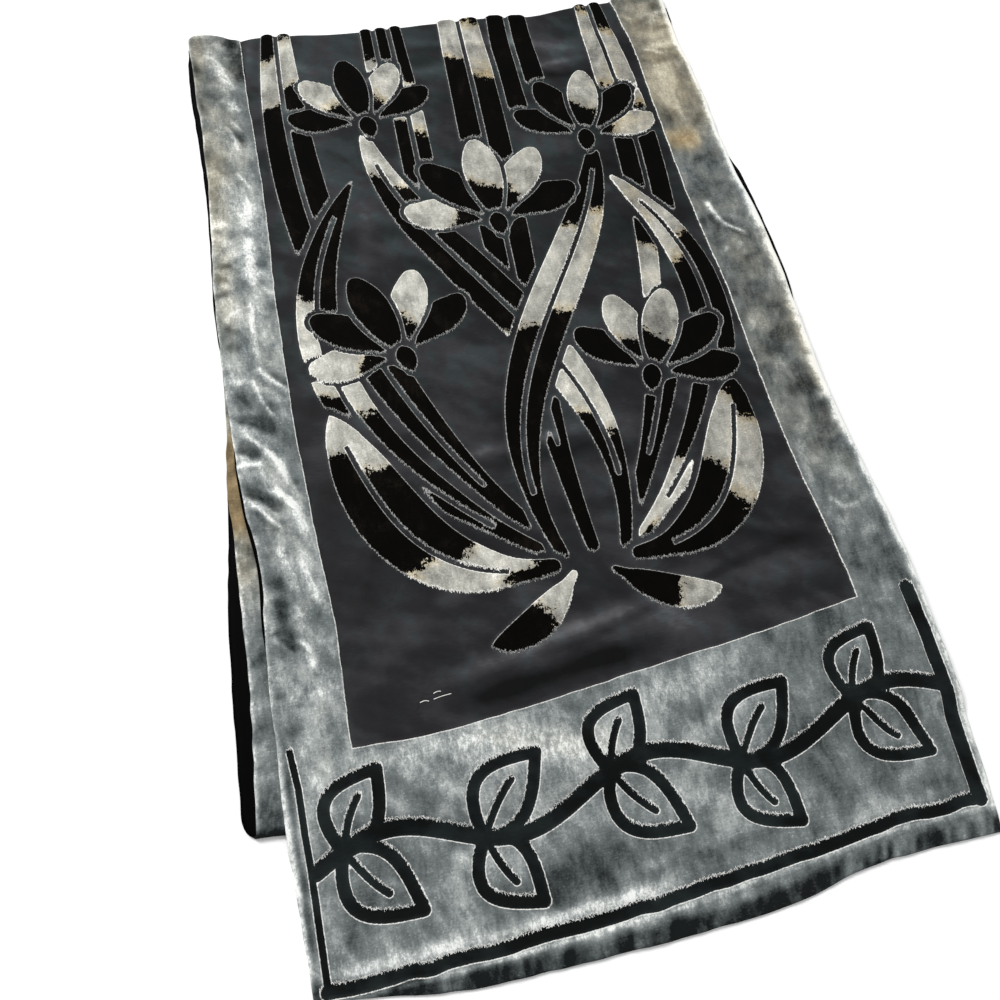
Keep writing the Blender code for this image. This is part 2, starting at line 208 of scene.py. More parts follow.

# Painted highlights on the pile's nap, or painted shade where the amount is negative.
PAINTED_NAP_LIGHT = table(
    Place,
    # The left border, from the roll to the hem.
    (-230, 840, 0, 28, 13, 0.6), (-237, 801, 70, 14, 10, -0.35), (-236, 755, 80, 26, 10, -0.3),
    (-240, 722, 80, 12, 8, -0.5), (-228, 716, 84, 20, 8, 0.25), (-206, 700, 84, 40, 8, -0.3),
    (-240, 690, 80, 18, 8, -0.45), (-228, 655, 84, 24, 10, 0.3), (-230, 640, 84, 30, 14, -0.15),
    (-238, 616, 20, 14, 7, 0.4), (-235, 606, -30, 18, 10, -0.35), (-213.5, 603, -60, 10, 6, -0.6),
    (-236, 590, 88, 170, 20, 0.3), (-214, 590, 88, 170, 22, 0.12), (-236, 570, 0, 11, 7, -0.9),
    (-206, 567, 0, 10, 9, -0.6), (-206, 558, 0, 9, 4, 0.5), (-241, 557, -20, 11, 8, -0.8),
    (-208, 547, 10, 11, 8, -0.5), (-242, 541, 0, 13, 7, -0.9), (-234, 521, 30, 14, 7, 0.35),
    (-237, 505, -30, 15, 10, -0.6), (-205, 505, 88, 60, 9, -0.25), (-240, 488, -20, 16, 9, -0.6),
    (-238, 456, -5, 18, 7, 0.8), (-236, 440, 0, 20, 14, -0.6), (-214, 429, -40, 13, 9, -0.6),
    (-236, 427, -4, 20, 6, 0.4), (-236, 404, -40, 18, 5, -0.3), (-206, 386, 90, 48, 13, -0.4),
    (-238, 320, 84, 34, 8, -0.1), (-233, 304, 20, 10, 8, -0.5), (-200, 300, 86, 50, 8, -0.3),
    (-233, 282, -20, 17, 13, -0.8), (-230, 261, -70, 18, 12, -0.9), (-207, 240, 86, 40, 12, -0.1),
    (-239, 228, 60, 14, 10, -0.4), (-229, 198, 60, 12, 8, 0.5), (-238, 197, 0, 12, 6, -0.6),
    (-216, 184, 70, 30, 12, 0.25), (-233, 172, 20, 12, 8, -0.5), (-227, 158, 60, 18, 10, 0.45),
    # The right border.
    (217, 814, 10, 12, 9, -0.5), (220, 788, 4, 20, 6, -0.5), (206, 760, 80, 150, 44, 0.25),
    (208, 745, 6, 46, 10, -0.3), (206, 710, 88, 180, 50, 0.1), (192, 675, 60, 18, 16, -0.7),
    (204, 673, 84, 18, 5, 0.4), (218, 666, 50, 22, 7, -0.5), (215, 622, 20, 26, 8, -0.3),
    (200, 600, 84, 60, 16, -0.15), (226, 506, 30, 12, 8, -0.4), (211, 501, 20, 14, 8, -0.4),
    (230, 482, 80, 12, 7, 0.4), (216, 478, -40, 26, 7, 0.2), (210, 470, 88, 240, 60, -0.14),
    (214, 458, -60, 30, 14, -0.2), (195, 433, 60, 16, 6, 0.4), (222, 417, 12, 30, 18, -0.6),
    (232, 391, 80, 12, 8, 0.5), (208, 389, 30, 16, 12, 0.4), (221, 366, 6, 36, 15, -0.8),
    (231, 356, 60, 10, 8, 0.6), (227, 343, 50, 30, 14, -0.45), (234, 336, 80, 12, 6, 0.5),
    (222, 318, 60, 34, 16, -0.45), (196, 300, 86, 60, 9, 0.4), (231, 297, 84, 24, 14, -0.35),
    (219, 287, -10, 18, 11, 0.3), (222, 246, 0, 16, 10, -0.2), (205, 240, 80, 22, 10, 0.45),
    (226, 236, 20, 26, 12, 0.2), (206, 205, 80, 30, 16, -0.2), (233, 203, 70, 26, 16, -0.6),
    # The end panel and the hem.
    (150, 160, 8, 80, 14, -0.1), (40, 146, 8, 110, 20, 0.4), (-160, 140, 0, 90, 14, 0.3),
    (60, 138, 10, 150, 60, 0.22), (-80, 124, -8, 150, 34, 0.25), (-60, 124, -14, 110, 30, 0.6),
    (66, 118, 20, 70, 18, 0.35), (110, 96, 0, 90, 40, -0.15), (-241.6, 90, 90, 150, 4, -0.8),
    (-72, 84, -16, 60, 30, 0.35), (-150, 78, 10, 90, 26, -0.15), (40, 68, -14, 60, 14, 0.4),
    (-192, 66, 70, 100, 66, -0.4), (60, 56, 20, 40, 20, 0.2), (90, 46, 4, 90, 34, 0.2),
    (-66, 40, 4, 96, 30, -0.95), (60, 40, 8, 90, 40, -0.2), (176, 40, 4, 90, 28, 0.2),
    (172, 33, 4, 90, 10, 0.35), (-180, 30, 1, 104, 12, -0.1), (-56, 16, 2, 110, 9, 1.3),
    (-180, 13.5, 1, 108, 9, 0.85),
)

# Where the dye has turned the pile beige.
DYED = table(
    Place,
    # The borders.
    (206, 745, 88, 205, 130, 0.74), (197, 644, 0, 30, 22, 1.3), (208, 450, 90, 370, 110, 0.35),
    (220, 240, 90, 130, 60, 0.05), (-222, 400, 88, 480, 60, 0.2), (-222, 740, 88, 220, 60, 0.34),
    (-238, 800, 84, 90, 20, 0.3), (-240, 600, 88, 240, 24, 0.45), (236, 450, 88, 200, 12, 0.3),
    # The field, the end panel and the hem.
    (30, 760, 60, 170, 60, 0.5), (-60, 420, 40, 120, 60, 0.5), (110, 560, 60, 120, 60, 0.6),
    (-60, 126, -14, 130, 34, 0.35), (-210, 160, 60, 60, 30, 0.1),
)

# How far the satin ground catches the light: its painted sheen.
SATIN_PAINTED_SHEEN = table(
    Place,
    (-30, 361, 4, 150, 12, 0.9), (-8, 346, 2, 90, 12, -1), (-120, 240, 20, 60, 20, 0.5),
    (-26, 385, -10, 34, 8, -0.6), (-60, 430, 20, 90, 40, 0.4), (85, 785, -20, 90, 20, 0.9),
    (95, 757, 6, 100, 9, 0.7), (100, 742, -8, 100, 9, -0.8), (150, 728, -12, 70, 12, 0.7),
    (120, 700, 14, 90, 11, -0.7), (-188, 812, 80, 50, 12, 0.7), (-120, 560, 80, 100, 16, 0.5),
    (-66, 764, 4, 110, 11, 0.6), (-70, 748, 8, 110, 11, -0.6), (40, 630, 70, 60, 22, 0.5),
    (60, 322, 30, 80, 12, 0.5), (130, 232, 14, 100, 10, -0.5), (-150, 300, 60, 90, 14, -0.5),
    (-45, 174, 6, 140, 16, -2), (-40, 202, 9, 160, 15, 0.9), (40, 196, 6, 260, 44, 0.4),
    (-150, 700, 86, 260, 80, 0.45), (-100, 440, 80, 160, 60, 0.2), (150, 650, 84, 300, 70, -0.8),
    (160, 250, 80, 130, 40, 0.15), (30, 800, 0, 330, 40, 0.35), (60, 226, 12, 120, 16, 0.3),
)

# How far the front's lining has rolled out past its left edge, as (along, out) pairs.
# The black strip it shows is partly the lining's edge and partly a painted shadow in the gap under the
# front's edge.
ROLLED_OUT_AND_SHADOW = (
    (190, -9.0), (215, -2.0), (240, 0.9), (280, 2.6), (313, 2.6), (350, 1.7), (393, 0.5), (410, -2.0),
    (430, -9.0),
)


def smooth_curve(places, values, place):
    """The values at some places, on a cubic through a table's values."""
    places = np.asarray(places, float)
    values = np.asarray(values, float)
    place = np.clip(place, places[0], places[-1])
    k = np.clip(np.searchsorted(places, place, "right") - 1, 0, len(places) - 2)
    slopes = np.gradient(values, places)
    span = places[k + 1] - places[k]
    t = (place - places[k]) / span
    ends = values[k] * (1 + 2 * t) * (1 - t) ** 2 + values[k + 1] * t * t * (3 - 2 * t)
    return ends + span * t * (1 - t) * (slopes[k] * (1 - t) - slopes[k + 1] * t)


def edge_at(sections, edge, along):
    column = [getattr(section, edge) for section in sections]
    return smooth_curve([section.along for section in sections], column, along)


def ramp(value, start, end):
    """0 up to start, 1 from end on, and smooth between."""
    t = np.clip((value - start) / (end - start), 0.0, 1.0)
    return t * t * (3 - 2 * t)


def between(value, start, full, last, end):
    """0 outside start and end, 1 from full to last, and smooth between."""
    return ramp(value, start, full) * (1 - ramp(value, last, end))


def hump(away, width, power=2):
    """1 where away is 0, falling to 0 beyond the width. A higher power gives it a flatter top."""
    return np.exp(-(np.abs(away / width) ** power))


def value_noise(across, along, size, seed):
    """Soft bumps from -1 to 1, about size millimetres from one to the next."""
    lattice = np.random.default_rng(seed).uniform(-1, 1, (64, 64))
    u = across / size + 500.0
    v = along / size + 500.0
    i = np.floor(u).astype(int)
    j = np.floor(v).astype(int)
    s = ramp(u - i, 0, 1)
    t = ramp(v - j, 0, 1)
    near, far = (
        lattice[i % 64, row % 64] * (1 - s) + lattice[(i + 1) % 64, row % 64] * s for row in (j, j + 1)
    )
    return near * (1 - t) + far * t


def total_of(places, across, along):
    """The amounts that a table's places add up to at some points."""
    total = 0
    for row in places:
        turn = math.radians(row.turn)
        dx = across - row.across
        dy = along - row.along
        lengthwise = (dx * math.cos(turn) + dy * math.sin(turn)) / (row.length / 2)
        crosswise = (dy * math.cos(turn) - dx * math.sin(turn)) / (row.width / 2)
        total = total + row.amount * np.exp(-(lengthwise**4) - crosswise**2)
    return total


def near_line(line, reach, x, y):
    """Which points lie within reach of a line's box."""
    low = line.min(axis=0) - reach
    high = line.max(axis=0) + reach
    return (x > low[0]) & (x < high[0]) & (y > low[1]) & (y < high[1])


def beside(line, x, y):
    """How far points are from a line, what share of it they have passed, its length, and their side of it.

    The side is above 0 to the right of the line as it runs.
    """
    best = np.full(x.shape, 1e9)
    passed = np.zeros(x.shape)
    side = np.zeros(x.shape)
    steps = np.linalg.norm(np.diff(line, axis=0), axis=1)
    start = 0.0
    for a, b, step in zip(line, line[1:], steps):
        d = (b - a) / step
        px = x - a[0]
        py = y - a[1]
        t = np.clip(px * d[0] + py * d[1], 0, step)
        far = np.hypot(px - d[0] * t, py - d[1] * t)
        nearer = far < best
        best = np.where(nearer, far, best)
        passed = np.where(nearer, start + t, passed)
        side = np.where(nearer, px * d[1] - py * d[0], side)
        start += step
    return best, passed / start, start, side


def creases(across, along):
    """(height, light) that the creases give some points."""
    height = np.zeros(across.shape)
    light = np.zeros(across.shape)
    for row in CREASES:
        count = len(row.points)
        fine = np.linspace(0, 1, 6 * count)
        line = [smooth_curve(np.linspace(0, 1, count), part, fine) for part in zip(*row.points)]
        line = np.stack(line, axis=1)
        near = near_line(line, row.width * 2.2, across, along)
        if near.any():
            far, passed, _, side = beside(line, across[near], along[near])
            half = row.width / 2 * np.where(side * row.height > 0, SOFT_SIDE, 1.0)
            amount = hump(far, half) * between(passed, *CREASE_ENDS)
            height[near] += row.height * amount
            light[near] += row.light * amount
    return height, light


def roll_axis_at(across):
    return smooth_curve(*zip(*BACK), across) - ROLL_RADIUS - 1.0


def front_underside(across, along):
    """Height of the front's inner face: on the floor, over the layers beneath it, and up to the roll."""
    on_turned_end = TURNED_TOP + GAP
    in_roll = 2 * ROLL_RADIUS - WALL
    axis = roll_axis_at(across)
    height = on_turned_end * ramp(along, *CLIMB)
    height = height - (on_turned_end - TURNED_LOW) * ramp(along, *DESCENT)
    return height + (in_roll - TURNED_LOW) * ramp(along, axis - ROLL_RISE, axis)


def side_at(guide, along):
    """Where one of the front's four guides runs."""
    swing, size, seed = WAVES[guide]
    return edge_at(FRONT, guide, along) + swing * value_noise(0 * along, along, size, seed)


def hem_at(across):
    return smooth_curve(*zip(*HEM), across) + 0.5 * value_noise(across, 0 * across, 12, 5)


def foot_at(across):
    return smooth_curve(*zip(*FIELD_FOOT), across) + 0.35 * value_noise(across, 0 * across, 9, 6)


# ---------------------------------------------------------------- the pattern that the pile is cut to

# bend and sway are how far the middle line swings to the left of a straight run, as shares of its length.
# half is half the leaf's width, and silver lists the shares of its length that are dyed silver.
Leaf = namedtuple("Leaf", "root_x root_y tip_x tip_y bend sway half veins slant silver")
BACK_LEAVES = table(
    Leaf,
    (-14, 262, -150, 930, 0.18, 0.11, 22, 1, -0.4, ((0.36, 0.49), (0.75, 0.83))),
    (-2, 264, -84, 1010, 0.12, -0.05, 23, 2, 0.5, ((0.25, 0.36), (0.60, 0.68))),
    (20, 264, 90, 1000, -0.10, 0.06, 23, 1, -0.5, ((0.12, 0.22), (0.47, 0.60))),
    (8, 265, 2, 1010, 0.03, -0.05, 23, 1, 0.4, ((0.67, 0.76),)),
    (30, 262, 140, 930, -0.16, -0.09, 21, 1, 0.4, ((0.30, 0.40), (0.68, 0.82))),
    (-20, 260, -112, 652, 0.29, 0.35, 18, 1, 0.5, ((0.46, 0.66),)),
    (40, 258, 112, 622, -0.26, -0.34, 18, 1, -0.4, ((0.04, 0.24), (0.74, 1.3))),
)
FRONT_LEAVES = table(
    Leaf,
    (34, 262, -98, 716, -0.22, 0.10, 20, 1, 0.4, ((0.22, 0.42), (0.84, 1.3))),
    (-16, 262, 112, 672, 0.24, -0.08, 20, 1, -0.4, ((0.50, 0.76),)),
    (-26, 254, -172, 414, 0.38, 0.16, 27, 1, 0.3, ((0.10, 0.34), (0.80, 1.3))),
    (42, 252, 162, 390, -0.38, -0.16, 25, 1, 0.2, ((0.52, 0.86),)),
    (-12, 245, -86, 203, 0.10, 0.20, 13, 0, 0.0, ((-0.3, 0.42),)),
    (20, 243, 98, 214, -0.10, -0.22, 13, 0, 0.0, ((0.62, 1.3),)),
)
LEAF_SHARES = (0.0, 0.10, 0.25, 0.45, 0.62, 0.80, 0.93, 1.0)
LEAF_WIDTHS = (0.24, 0.36, 0.72, 0.99, 1.0, 0.76, 0.35, 0.0)
PETAL_WIDTHS = (0.34, 0.52, 0.78, 0.97, 1.0, 0.80, 0.42, 0.0)
# heading is the way the bloom opens, in degrees to the left of straight up the stole. silver lists the
# petals that are pale.
Bloom = namedtuple("Bloom", "x y heading size petals open silver")
BLOOMS = table(
    Bloom,
    (-104, 458, 20, 86, 5, 138, (0, 3)), (98, 404, -22, 84, 5, 134, (1, 2)),
    (4, 582, 2, 92, 5, 140, (0, 2, 3)), (108, 664, -10, 80, 5, 134, (2, 4)),
    (-92, 710, 8, 80, 5, 134, (1, 3)),
)
VEIN = 1.9  # half the width of the ground left bare along a leaf's middle
VEIN_ENDS = (0.10, 0.13, 0.88, 0.91)  # where a vein starts, is open, narrows and ends, as shares of the leaf
TWIN_VEINS = 0.36  # where a leaf with two veins has them, as a share of its half width
PETAL_ROOT = 9.0  # how far from the bloom's middle its petals start
CUP_RADIUS = 8.5
VOID = 4.8  # ground left bare round a leaf that crosses another
PETAL_VOID = 3.6
THIN = 1.8  # pile narrower than twice this is left off, and corners are rounded by as much
SLIGHT = 3.2  # and so is a piece that is nowhere wider than twice this and twice the last
FAR = -60.0
FIELD_MARGIN = 4.0  # ground left bare between a leaf and the border
REACH = 7.0  # how far outside a shape's box its own distance still matters
# Scraps of leaves, cut off by those over them, that are taken out.
SCRAPS = (
    (50, 571), (64, 394), (-77, 688), (-132, 556), (-79, 552),
    (-62, 521), (54, 671), (78, 643), (77, 501), (57, 476),
)
MAP_ACROSS = (-225.0, 226.0)
MAP_ALONG = (170.0, 860.0)

# The end panel's vine and frame, left bare in the pile.
VINE_START = (-232.0, 77.0)
VINE_END = (238.0, 107.0)
VINE_SWING = 14.0
VINE_WAVES = 2.5
STEM_HALF = 5.6
OUTLINE_HALF = 4.3
LEAF_VEIN_HALF = 2.6
FRAME_FOOT = table(
    Point,
    (-236, 4.5), (-150, 4.5), (0, 9.3), (80, 16.2), (120, 20.2), (160, 24.5), (234, 25.5),
)
FRAME_LEFT = ((-238.2, 158.0), (-237.2, 146.0), (-235.8, 132.0), (-235.4, 60.0), (-235.4, 5.0))
FRAME_RIGHT = ((238.8, 184.0), (239.6, 150.0), (238.6, 110.0), (236.5, 60.0), (235.0, 34.0), (234.6, 25.0))


def leaf_line(leaf, count):
    root = np.array((leaf.root_x, leaf.root_y), float)
    tip = np.array((leaf.tip_x, leaf.tip_y), float)
    run = tip - root
    side = np.array((-run[1], run[0]))
    first = root + run / 3 + side * leaf.bend
    second = root + run * 2 / 3 + side * leaf.sway
    t = np.linspace(0, 1, count)[:, None]
    near = root * (1 - t) ** 3 + 3 * first * t * (1 - t) ** 2
    return near + 3 * second * t * t * (1 - t) + tip * t**3


def leaf_pile(leaf, line, widths, x, y):
    """How far inside the leaf, inside its pile and inside its silver dye the points lie."""
    far, share, length, side = beside(line, x, y)
    half = leaf.half * smooth_curve(LEAF_SHARES, widths, share)
    whole = half - far
    # Past the tip the middle line gives too short a distance, so the discs on its last stretch are added.
    for k in range(int(0.86 * len(line)), len(line) - 1):
        disc = leaf.half * smooth_curve(LEAF_SHARES, widths, np.array(k / (len(line) - 1)))
        whole = np.maximum(whole, disc - np.hypot(x - line[k, 0], y - line[k, 1]))
    pile = whole
    if leaf.veins:
        bare = VEIN * between(share, *VEIN_ENDS)
        vein = far - bare if leaf.veins == 1 else np.abs(far - half * TWIN_VEINS) - bare
        pile = np.where(bare > 0.4, np.minimum(whole, vein), whole)
    # Each stripe between the veins was dyed at its own slant.
    stripe = np.sign(side) * (far > half * TWIN_VEINS if leaf.veins == 2 else leaf.veins)
    slant = leaf.slant * side + 9 * math.copysign(1, leaf.slant) * stripe
    silver = np.full(x.shape, FAR)
    for start, end in leaf.silver:
        leaning = slant * np.where(share < (start + end) / 2, 1, -1)
        silver = np.maximum(silver, np.minimum(share - start, end - share) * length + leaning)
    return whole, pile, silver


def bloom_leaves(bloom):
    """A bloom's petals, the outer ones first, so that the middle one lies over them, and their cup."""
    petals = []
    for k in sorted(range(bloom.petals), key=lambda k: -abs(k - (bloom.petals - 1) / 2)):
        share = k / (bloom.petals - 1) * 2 - 1
        turn = math.radians(bloom.heading - share * bloom.open / 2)
        away = np.array((-math.sin(turn), math.cos(turn)))
        root = np.array((bloom.x, bloom.y)) + PETAL_ROOT * away
        tip = root + away * (bloom.size * (1 - 0.12 * share * share) - PETAL_ROOT)
        pale = ((0.36, 1.4),) if k in bloom.silver else ()
        curl = 0.16 * share * 1.2
        petals.append(Leaf(*root, *tip, curl, -curl, bloom.size * 0.185, 0, 0.5, pale))
    turn = math.radians(bloom.heading)
    foot = (bloom.x + 16 * math.sin(turn), bloom.y - 16 * math.cos(turn))
    return petals + [Leaf(*foot, bloom.x, bloom.y + 6, 0.0, 0.0, CUP_RADIUS, 0, 0.0, ())]


def shapes():
    """Every shape of the field, back to front, as (leaf, line, widths, the bare ground round it)."""
    rows = [(leaf, leaf_line(leaf, 56), LEAF_WIDTHS, VOID) for leaf in BACK_LEAVES + FRONT_LEAVES]
    for bloom in BLOOMS:
        rows += [(petal, leaf_line(petal, 12), PETAL_WIDTHS, PETAL_VOID) for petal in bloom_leaves(bloom)]
    return rows


def drawn_pattern(x, y):
    """How far the points lie inside the field's shapes, and inside their silver dye."""
    total = np.full(x.shape, FAR)
    silver = np.full(x.shape, FAR)
    for leaf, line, widths, void in shapes():
        near = near_line(line, leaf.half + void + REACH, x, y)
        if near.any():
            whole, pile, light = leaf_pile(leaf, line, widths, x[near], y[near])
            behind = np.minimum(total[near], -(whole + void))
            total[near] = np.maximum(behind, np.where(whole > -void, pile, FAR))
            silver[near] = np.where(whole > -void / 2, light, silver[near])
    return np.minimum(total, -surround_reach(x, y) - FIELD_MARGIN), silver


def moved(values, right, up, outside):
    """A lattice's values, read that many of its steps to the right and up."""
    result = np.full(values.shape, outside, values.dtype)
    rows, columns = values.shape
    target = np.s_[max(-up, 0) : rows - max(up, 0), max(-right, 0) : columns - max(right, 0)]
    source = np.s_[max(up, 0) : rows - max(-up, 0), max(right, 0) : columns - max(-right, 0)]
    result[target] = values[source]
    return result


def widest(values, reach, fall):
    """At each point of a lattice, the largest value within reach, less its distance times fall."""
    steps = range(-int(reach), int(reach) + 1)
    result = values.copy()
    for right in steps:
        for up in steps:
            far = math.hypot(right, up)
            if 0 < far <= reach:
                np.maximum(result, moved(values, right, up, FAR) - far * fall, out=result)
    return result


def joined(start, inside):
    """The part of a lattice's inside that hangs together with its start."""
    kept = start & inside
    while True:
        grown = kept.copy()
        for right, up in ((1, 0), (-1, 0), (0, 1), (0, -1)):
            grown |= moved(kept, right, up, False)
        grown &= inside
        if grown.sum() == kept.sum():
            return kept
        kept = grown


@functools.cache
def pattern_map():
    """The field's pattern on a lattice of 1 mm, without slivers and slight pieces."""
    x, y = np.meshgrid(np.arange(*MAP_ACROSS), np.arange(*MAP_ALONG))
    pile, silver = drawn_pattern(x, y)
    wide = np.minimum(widest(pile, THIN + 0.5, 0.0) - THIN, pile)
    kept = joined(wide > SLIGHT, wide > 0)
    for across, along in SCRAPS:
        spot = np.hypot(x - across, y - along) < 1
        kept &= ~joined(spot, kept)
    return widest(np.where(kept, wide, FAR), REACH + 1, 1.0), silver


def field_pattern(x, y):
    """How far the points lie inside the field's pile, and inside its silver dye."""
    height, width = pattern_map()[0].shape
    right = np.clip(x - MAP_ACROSS[0], 0, width - 1.001)
    up = np.clip(y - MAP_ALONG[0], 0, height - 1.001)
    column, row = right.astype(int), up.astype(int)
    right, up = right - column, up - row
    found = []
    for values in pattern_map():
        low = values[row, column] * (1 - right) + values[row, column + 1] * right
        high = values[row + 1, column] * (1 - right) + values[row + 1, column + 1] * right
        found.append(low * (1 - up) + high * up)
    return found


def vine_lines():
    """The vine's stem, and its leaves' outlines and veins, as (line, half width) pairs."""
    start, end = np.array(VINE_START), np.array(VINE_END)
    t = np.linspace(0, 1, 120)[:, None]
    swing = VINE_SWING * np.sin(2 * math.pi * VINE_WAVES * t)
    stem = start + (end - start) * t + np.concatenate((0 * t, swing), axis=1)
    lines = [(stem, STEM_HALF)]
    pairs = int(2 * VINE_WAVES)
    for k in range(pairs):
        crest = 1 if k % 2 == 0 else -1
        root = stem[int((k + 0.25) / pairs * 119)]
        for turn, length, half in ((crest * 58, 57, 19), (-crest * 46, 66, 20)):
            lines += leaf_outline(root, math.radians(turn), length, half)
    return lines


def leaf_outline(root, turn, length, half):
    """One leaf of the vine, as the two curved lines of its edge and a short vein."""
    heading = np.array((math.cos(turn), math.sin(turn)))
    side = np.array((-heading[1], heading[0]))
    t = np.linspace(0, 1, 22)[:, None]
    middle = root + heading * length * t + side * 5 * np.sin(math.pi * t) * math.copysign(1, turn)
    swell = side * half * np.sin(math.pi * t**0.8)
    edges = [(middle + swell, OUTLINE_HALF), (middle - swell, OUTLINE_HALF)]
    return edges + [(middle[2:14], LEAF_VEIN_HALF)]


def frame_foot(across):
    return np.interp(across, *zip(*FRAME_FOOT))


def frame_lines():
    across = np.linspace(FRAME_FOOT[0].across, FRAME_FOOT[-1].across, 90)
    foot = np.stack((across, frame_foot(across) + 1.1 * value_noise(across, 0 * across, 13, 7)), axis=1)
    return [(np.array(FRAME_LEFT), 2.3), (foot, 4.4), (np.array(FRAME_RIGHT), 5.4)]


def groove(x, y):
    """How far the points lie inside the lines that are bare in the end panel."""
    total = np.full(x.shape, FAR)
    for line, half in vine_lines() + frame_lines():
        near = near_line(line, half + 8, x, y)
        if near.any():
            total[near] = np.maximum(total[near], half - beside(line, x[near], y[near])[0])
    return total


def surround_reach(x, y):
    """How far outside the field the points lie."""
    sides = np.maximum(side_at("field_left", y) - x, x - side_at("field_right", y))
    return np.maximum(sides, foot_at(x) - y)


def pile_at(x, y):
    """(pile, silver): how far inside the pile and inside the silver dye the points lie."""
    around = surround_reach(x, y)
    leaves, silver = field_pattern(x, y)
    pile = np.maximum(leaves, np.minimum(around, -groove(x, y)))
    return pile, np.where(around > -1.5, 40.0, silver)


# ---------------------------------------------------------------- the front


def turned_edge():
    """(inset, rise) of the points round a turned edge, from its underside to its top."""
    turns = [math.radians(degrees) for degrees in SIDE_TURNS]
    return [(EDGE_RADIUS * (1 - math.cos(turn)), (1 + math.sin(turn)) / 2) for turn in turns]


def side_columns():
    """The front's columns, as weights of its four guides, a shift, and how far up the edge's turn."""
    rows = [(1, 0, 0, 0, inset, rise) for inset, rise in turned_edge()]
    for t in np.linspace(0, 1, LEFT_COLUMNS + 1)[1:]:
        rows.append((1 - t, t, 0, 0, EDGE_RADIUS * (1 - t) - STEP * t, 1))
    for t in np.linspace(0, 1, FIELD_COLUMNS):
        rows.append((0, 1 - t, t, 0, STEP * (1 - 2 * t), 1))
    for t in np.linspace(0, 1, RIGHT_COLUMNS + 1)[:-1]:
        rows.append((0, 0, 1 - t, t, STEP * (1 - t) - EDGE_RADIUS * t, 1))
    rows += [(0, 0, 0, 1, -inset, rise) for inset, rise in turned_edge()[::-1]]
    return np.array(rows, float)


def front_rows():
    """The front's rows, as weights of hem, foot and roll axis, a shift, and how far up the edge's turn."""
    rows = [(1, 0, 0, inset, rise) for inset, rise in turned_edge()]
    for t in np.linspace(0, 1, PANEL_ROWS + 1)[1:]:
        rows.append((1 - t, t, 0, EDGE_RADIUS * (1 - t) - STEP * t, 1))
    for t in (*np.linspace(0, PLAIN_SHARE, PLAIN_ROWS), *np.linspace(PLAIN_SHARE, 1, CUT_ROWS)[1:]):
        rows.append((0, 1 - t, t, STEP * (1 - t), 1))
    rows += [(0, 0, 1, ROLL_LENGTH * t, 1) for t in np.linspace(0, 1, 13)[1:]]
    rows += [(0, 0, 1 + t, ROLL_LENGTH - (HIDDEN_BACK + GAP) * t, 1) for t in np.linspace(0, 1, 7)[1:]]
    return np.array(rows, float)


def front_plan():
    """Where the front's points lie across and along, and how far up the edge's turn they are."""
    columns = side_columns()
    rows = front_rows()
    shape = (len(rows), len(columns))
    along = np.broadcast_to(np.linspace(-10, 840, shape[0])[:, None], shape)
    # Across and along depend on each other, so they are worked out in a few rounds.
    for _ in range(5):
        guides = [side_at(guide, np.minimum(along, FRONT[-1].along)) for guide in WAVES]
        across = sum(columns[:, k] * guides[k] for k in range(4)) + columns[:, 4]
        ends = (hem_at(across), foot_at(across), roll_axis_at(across))
        along = sum(rows[:, k : k + 1] * ends[k] for k in range(3)) + rows[:, 3:4]
    rise = np.minimum(columns[:, 5], rows[:, 4:5]) * np.ones(shape)
    return across, along, rise


def free_points(across, along):
    """Which points may move to the pile's edge: none at the turned edges, the field's sides or the roll."""
    free = along < roll_axis_at(across) - 2
    edge = len(SIDE_TURNS)
    free[:, :edge] = free[:, -edge:] = free[:edge] = False
    free[FOOT_ROW - 1 : FOOT_ROW + 1] = False
    for side in (FIELD_FIRST - 1, FIELD_LAST):
        free[FOOT_ROW:, side : side + 2] = False
    return free


def snapped(across, along, free):
    """Moves the free points nearest the pile's edge on to its foot or its top, so that the wall is crisp."""
    pile, silver = pile_at(across, along)
    step = 0.2
    slope_x = (pile_at(across + step, along)[0] - pile) / step
    slope_y = (pile_at(across, along + step)[0] - pile) / step
    steepness = np.maximum(np.hypot(slope_x, slope_y), 0.4)
    target = np.where(pile >= 0, STEP, -STEP)
    near = free & (np.abs(pile) < SNAP_REACH)
    move = np.where(near, np.clip(target - pile, -SNAP_MOST, SNAP_MOST), 0) / steepness**2
    fringe = np.clip(slope_y / steepness, 0, 1)
    return across + move * slope_x, along + move * slope_y, np.where(near, target, pile), silver, fringe


def wrinkles(across, along):
    """The folds with the small unevenness of cloth that has been worn, in millimetres of height."""
    height = total_of(FOLDS, across, along) + 0.25 * value_noise(across, along, 55, 21)
    height += 0.14 * value_noise(across, along * 0.6, 17, 22)
    height += 0.06 * value_noise(across + along * 0.5, along - across * 0.3, 6, 23)
    crumpled = 0.25 * value_noise(across, along * 0.7, 11, 24)
    crumpled += 0.1 * value_noise(across, along * 0.5, 5, 25)
    return height + ramp(surround_reach(across, along), -2, 8) * crumpled


def hem_ribs(across, along):
    """The hem's puckers: uneven ribs across its narrow band, from -1 to 1."""
    slanted = across - 0.35 * along
    ribs = 0.7 * value_noise(slanted, 0 * along, 9.5, 26) + 0.5 * value_noise(slanted, 0.2 * along, 4.4, 27)
    return hump(along - hem_at(across) - 6, 7, 4) * ribs


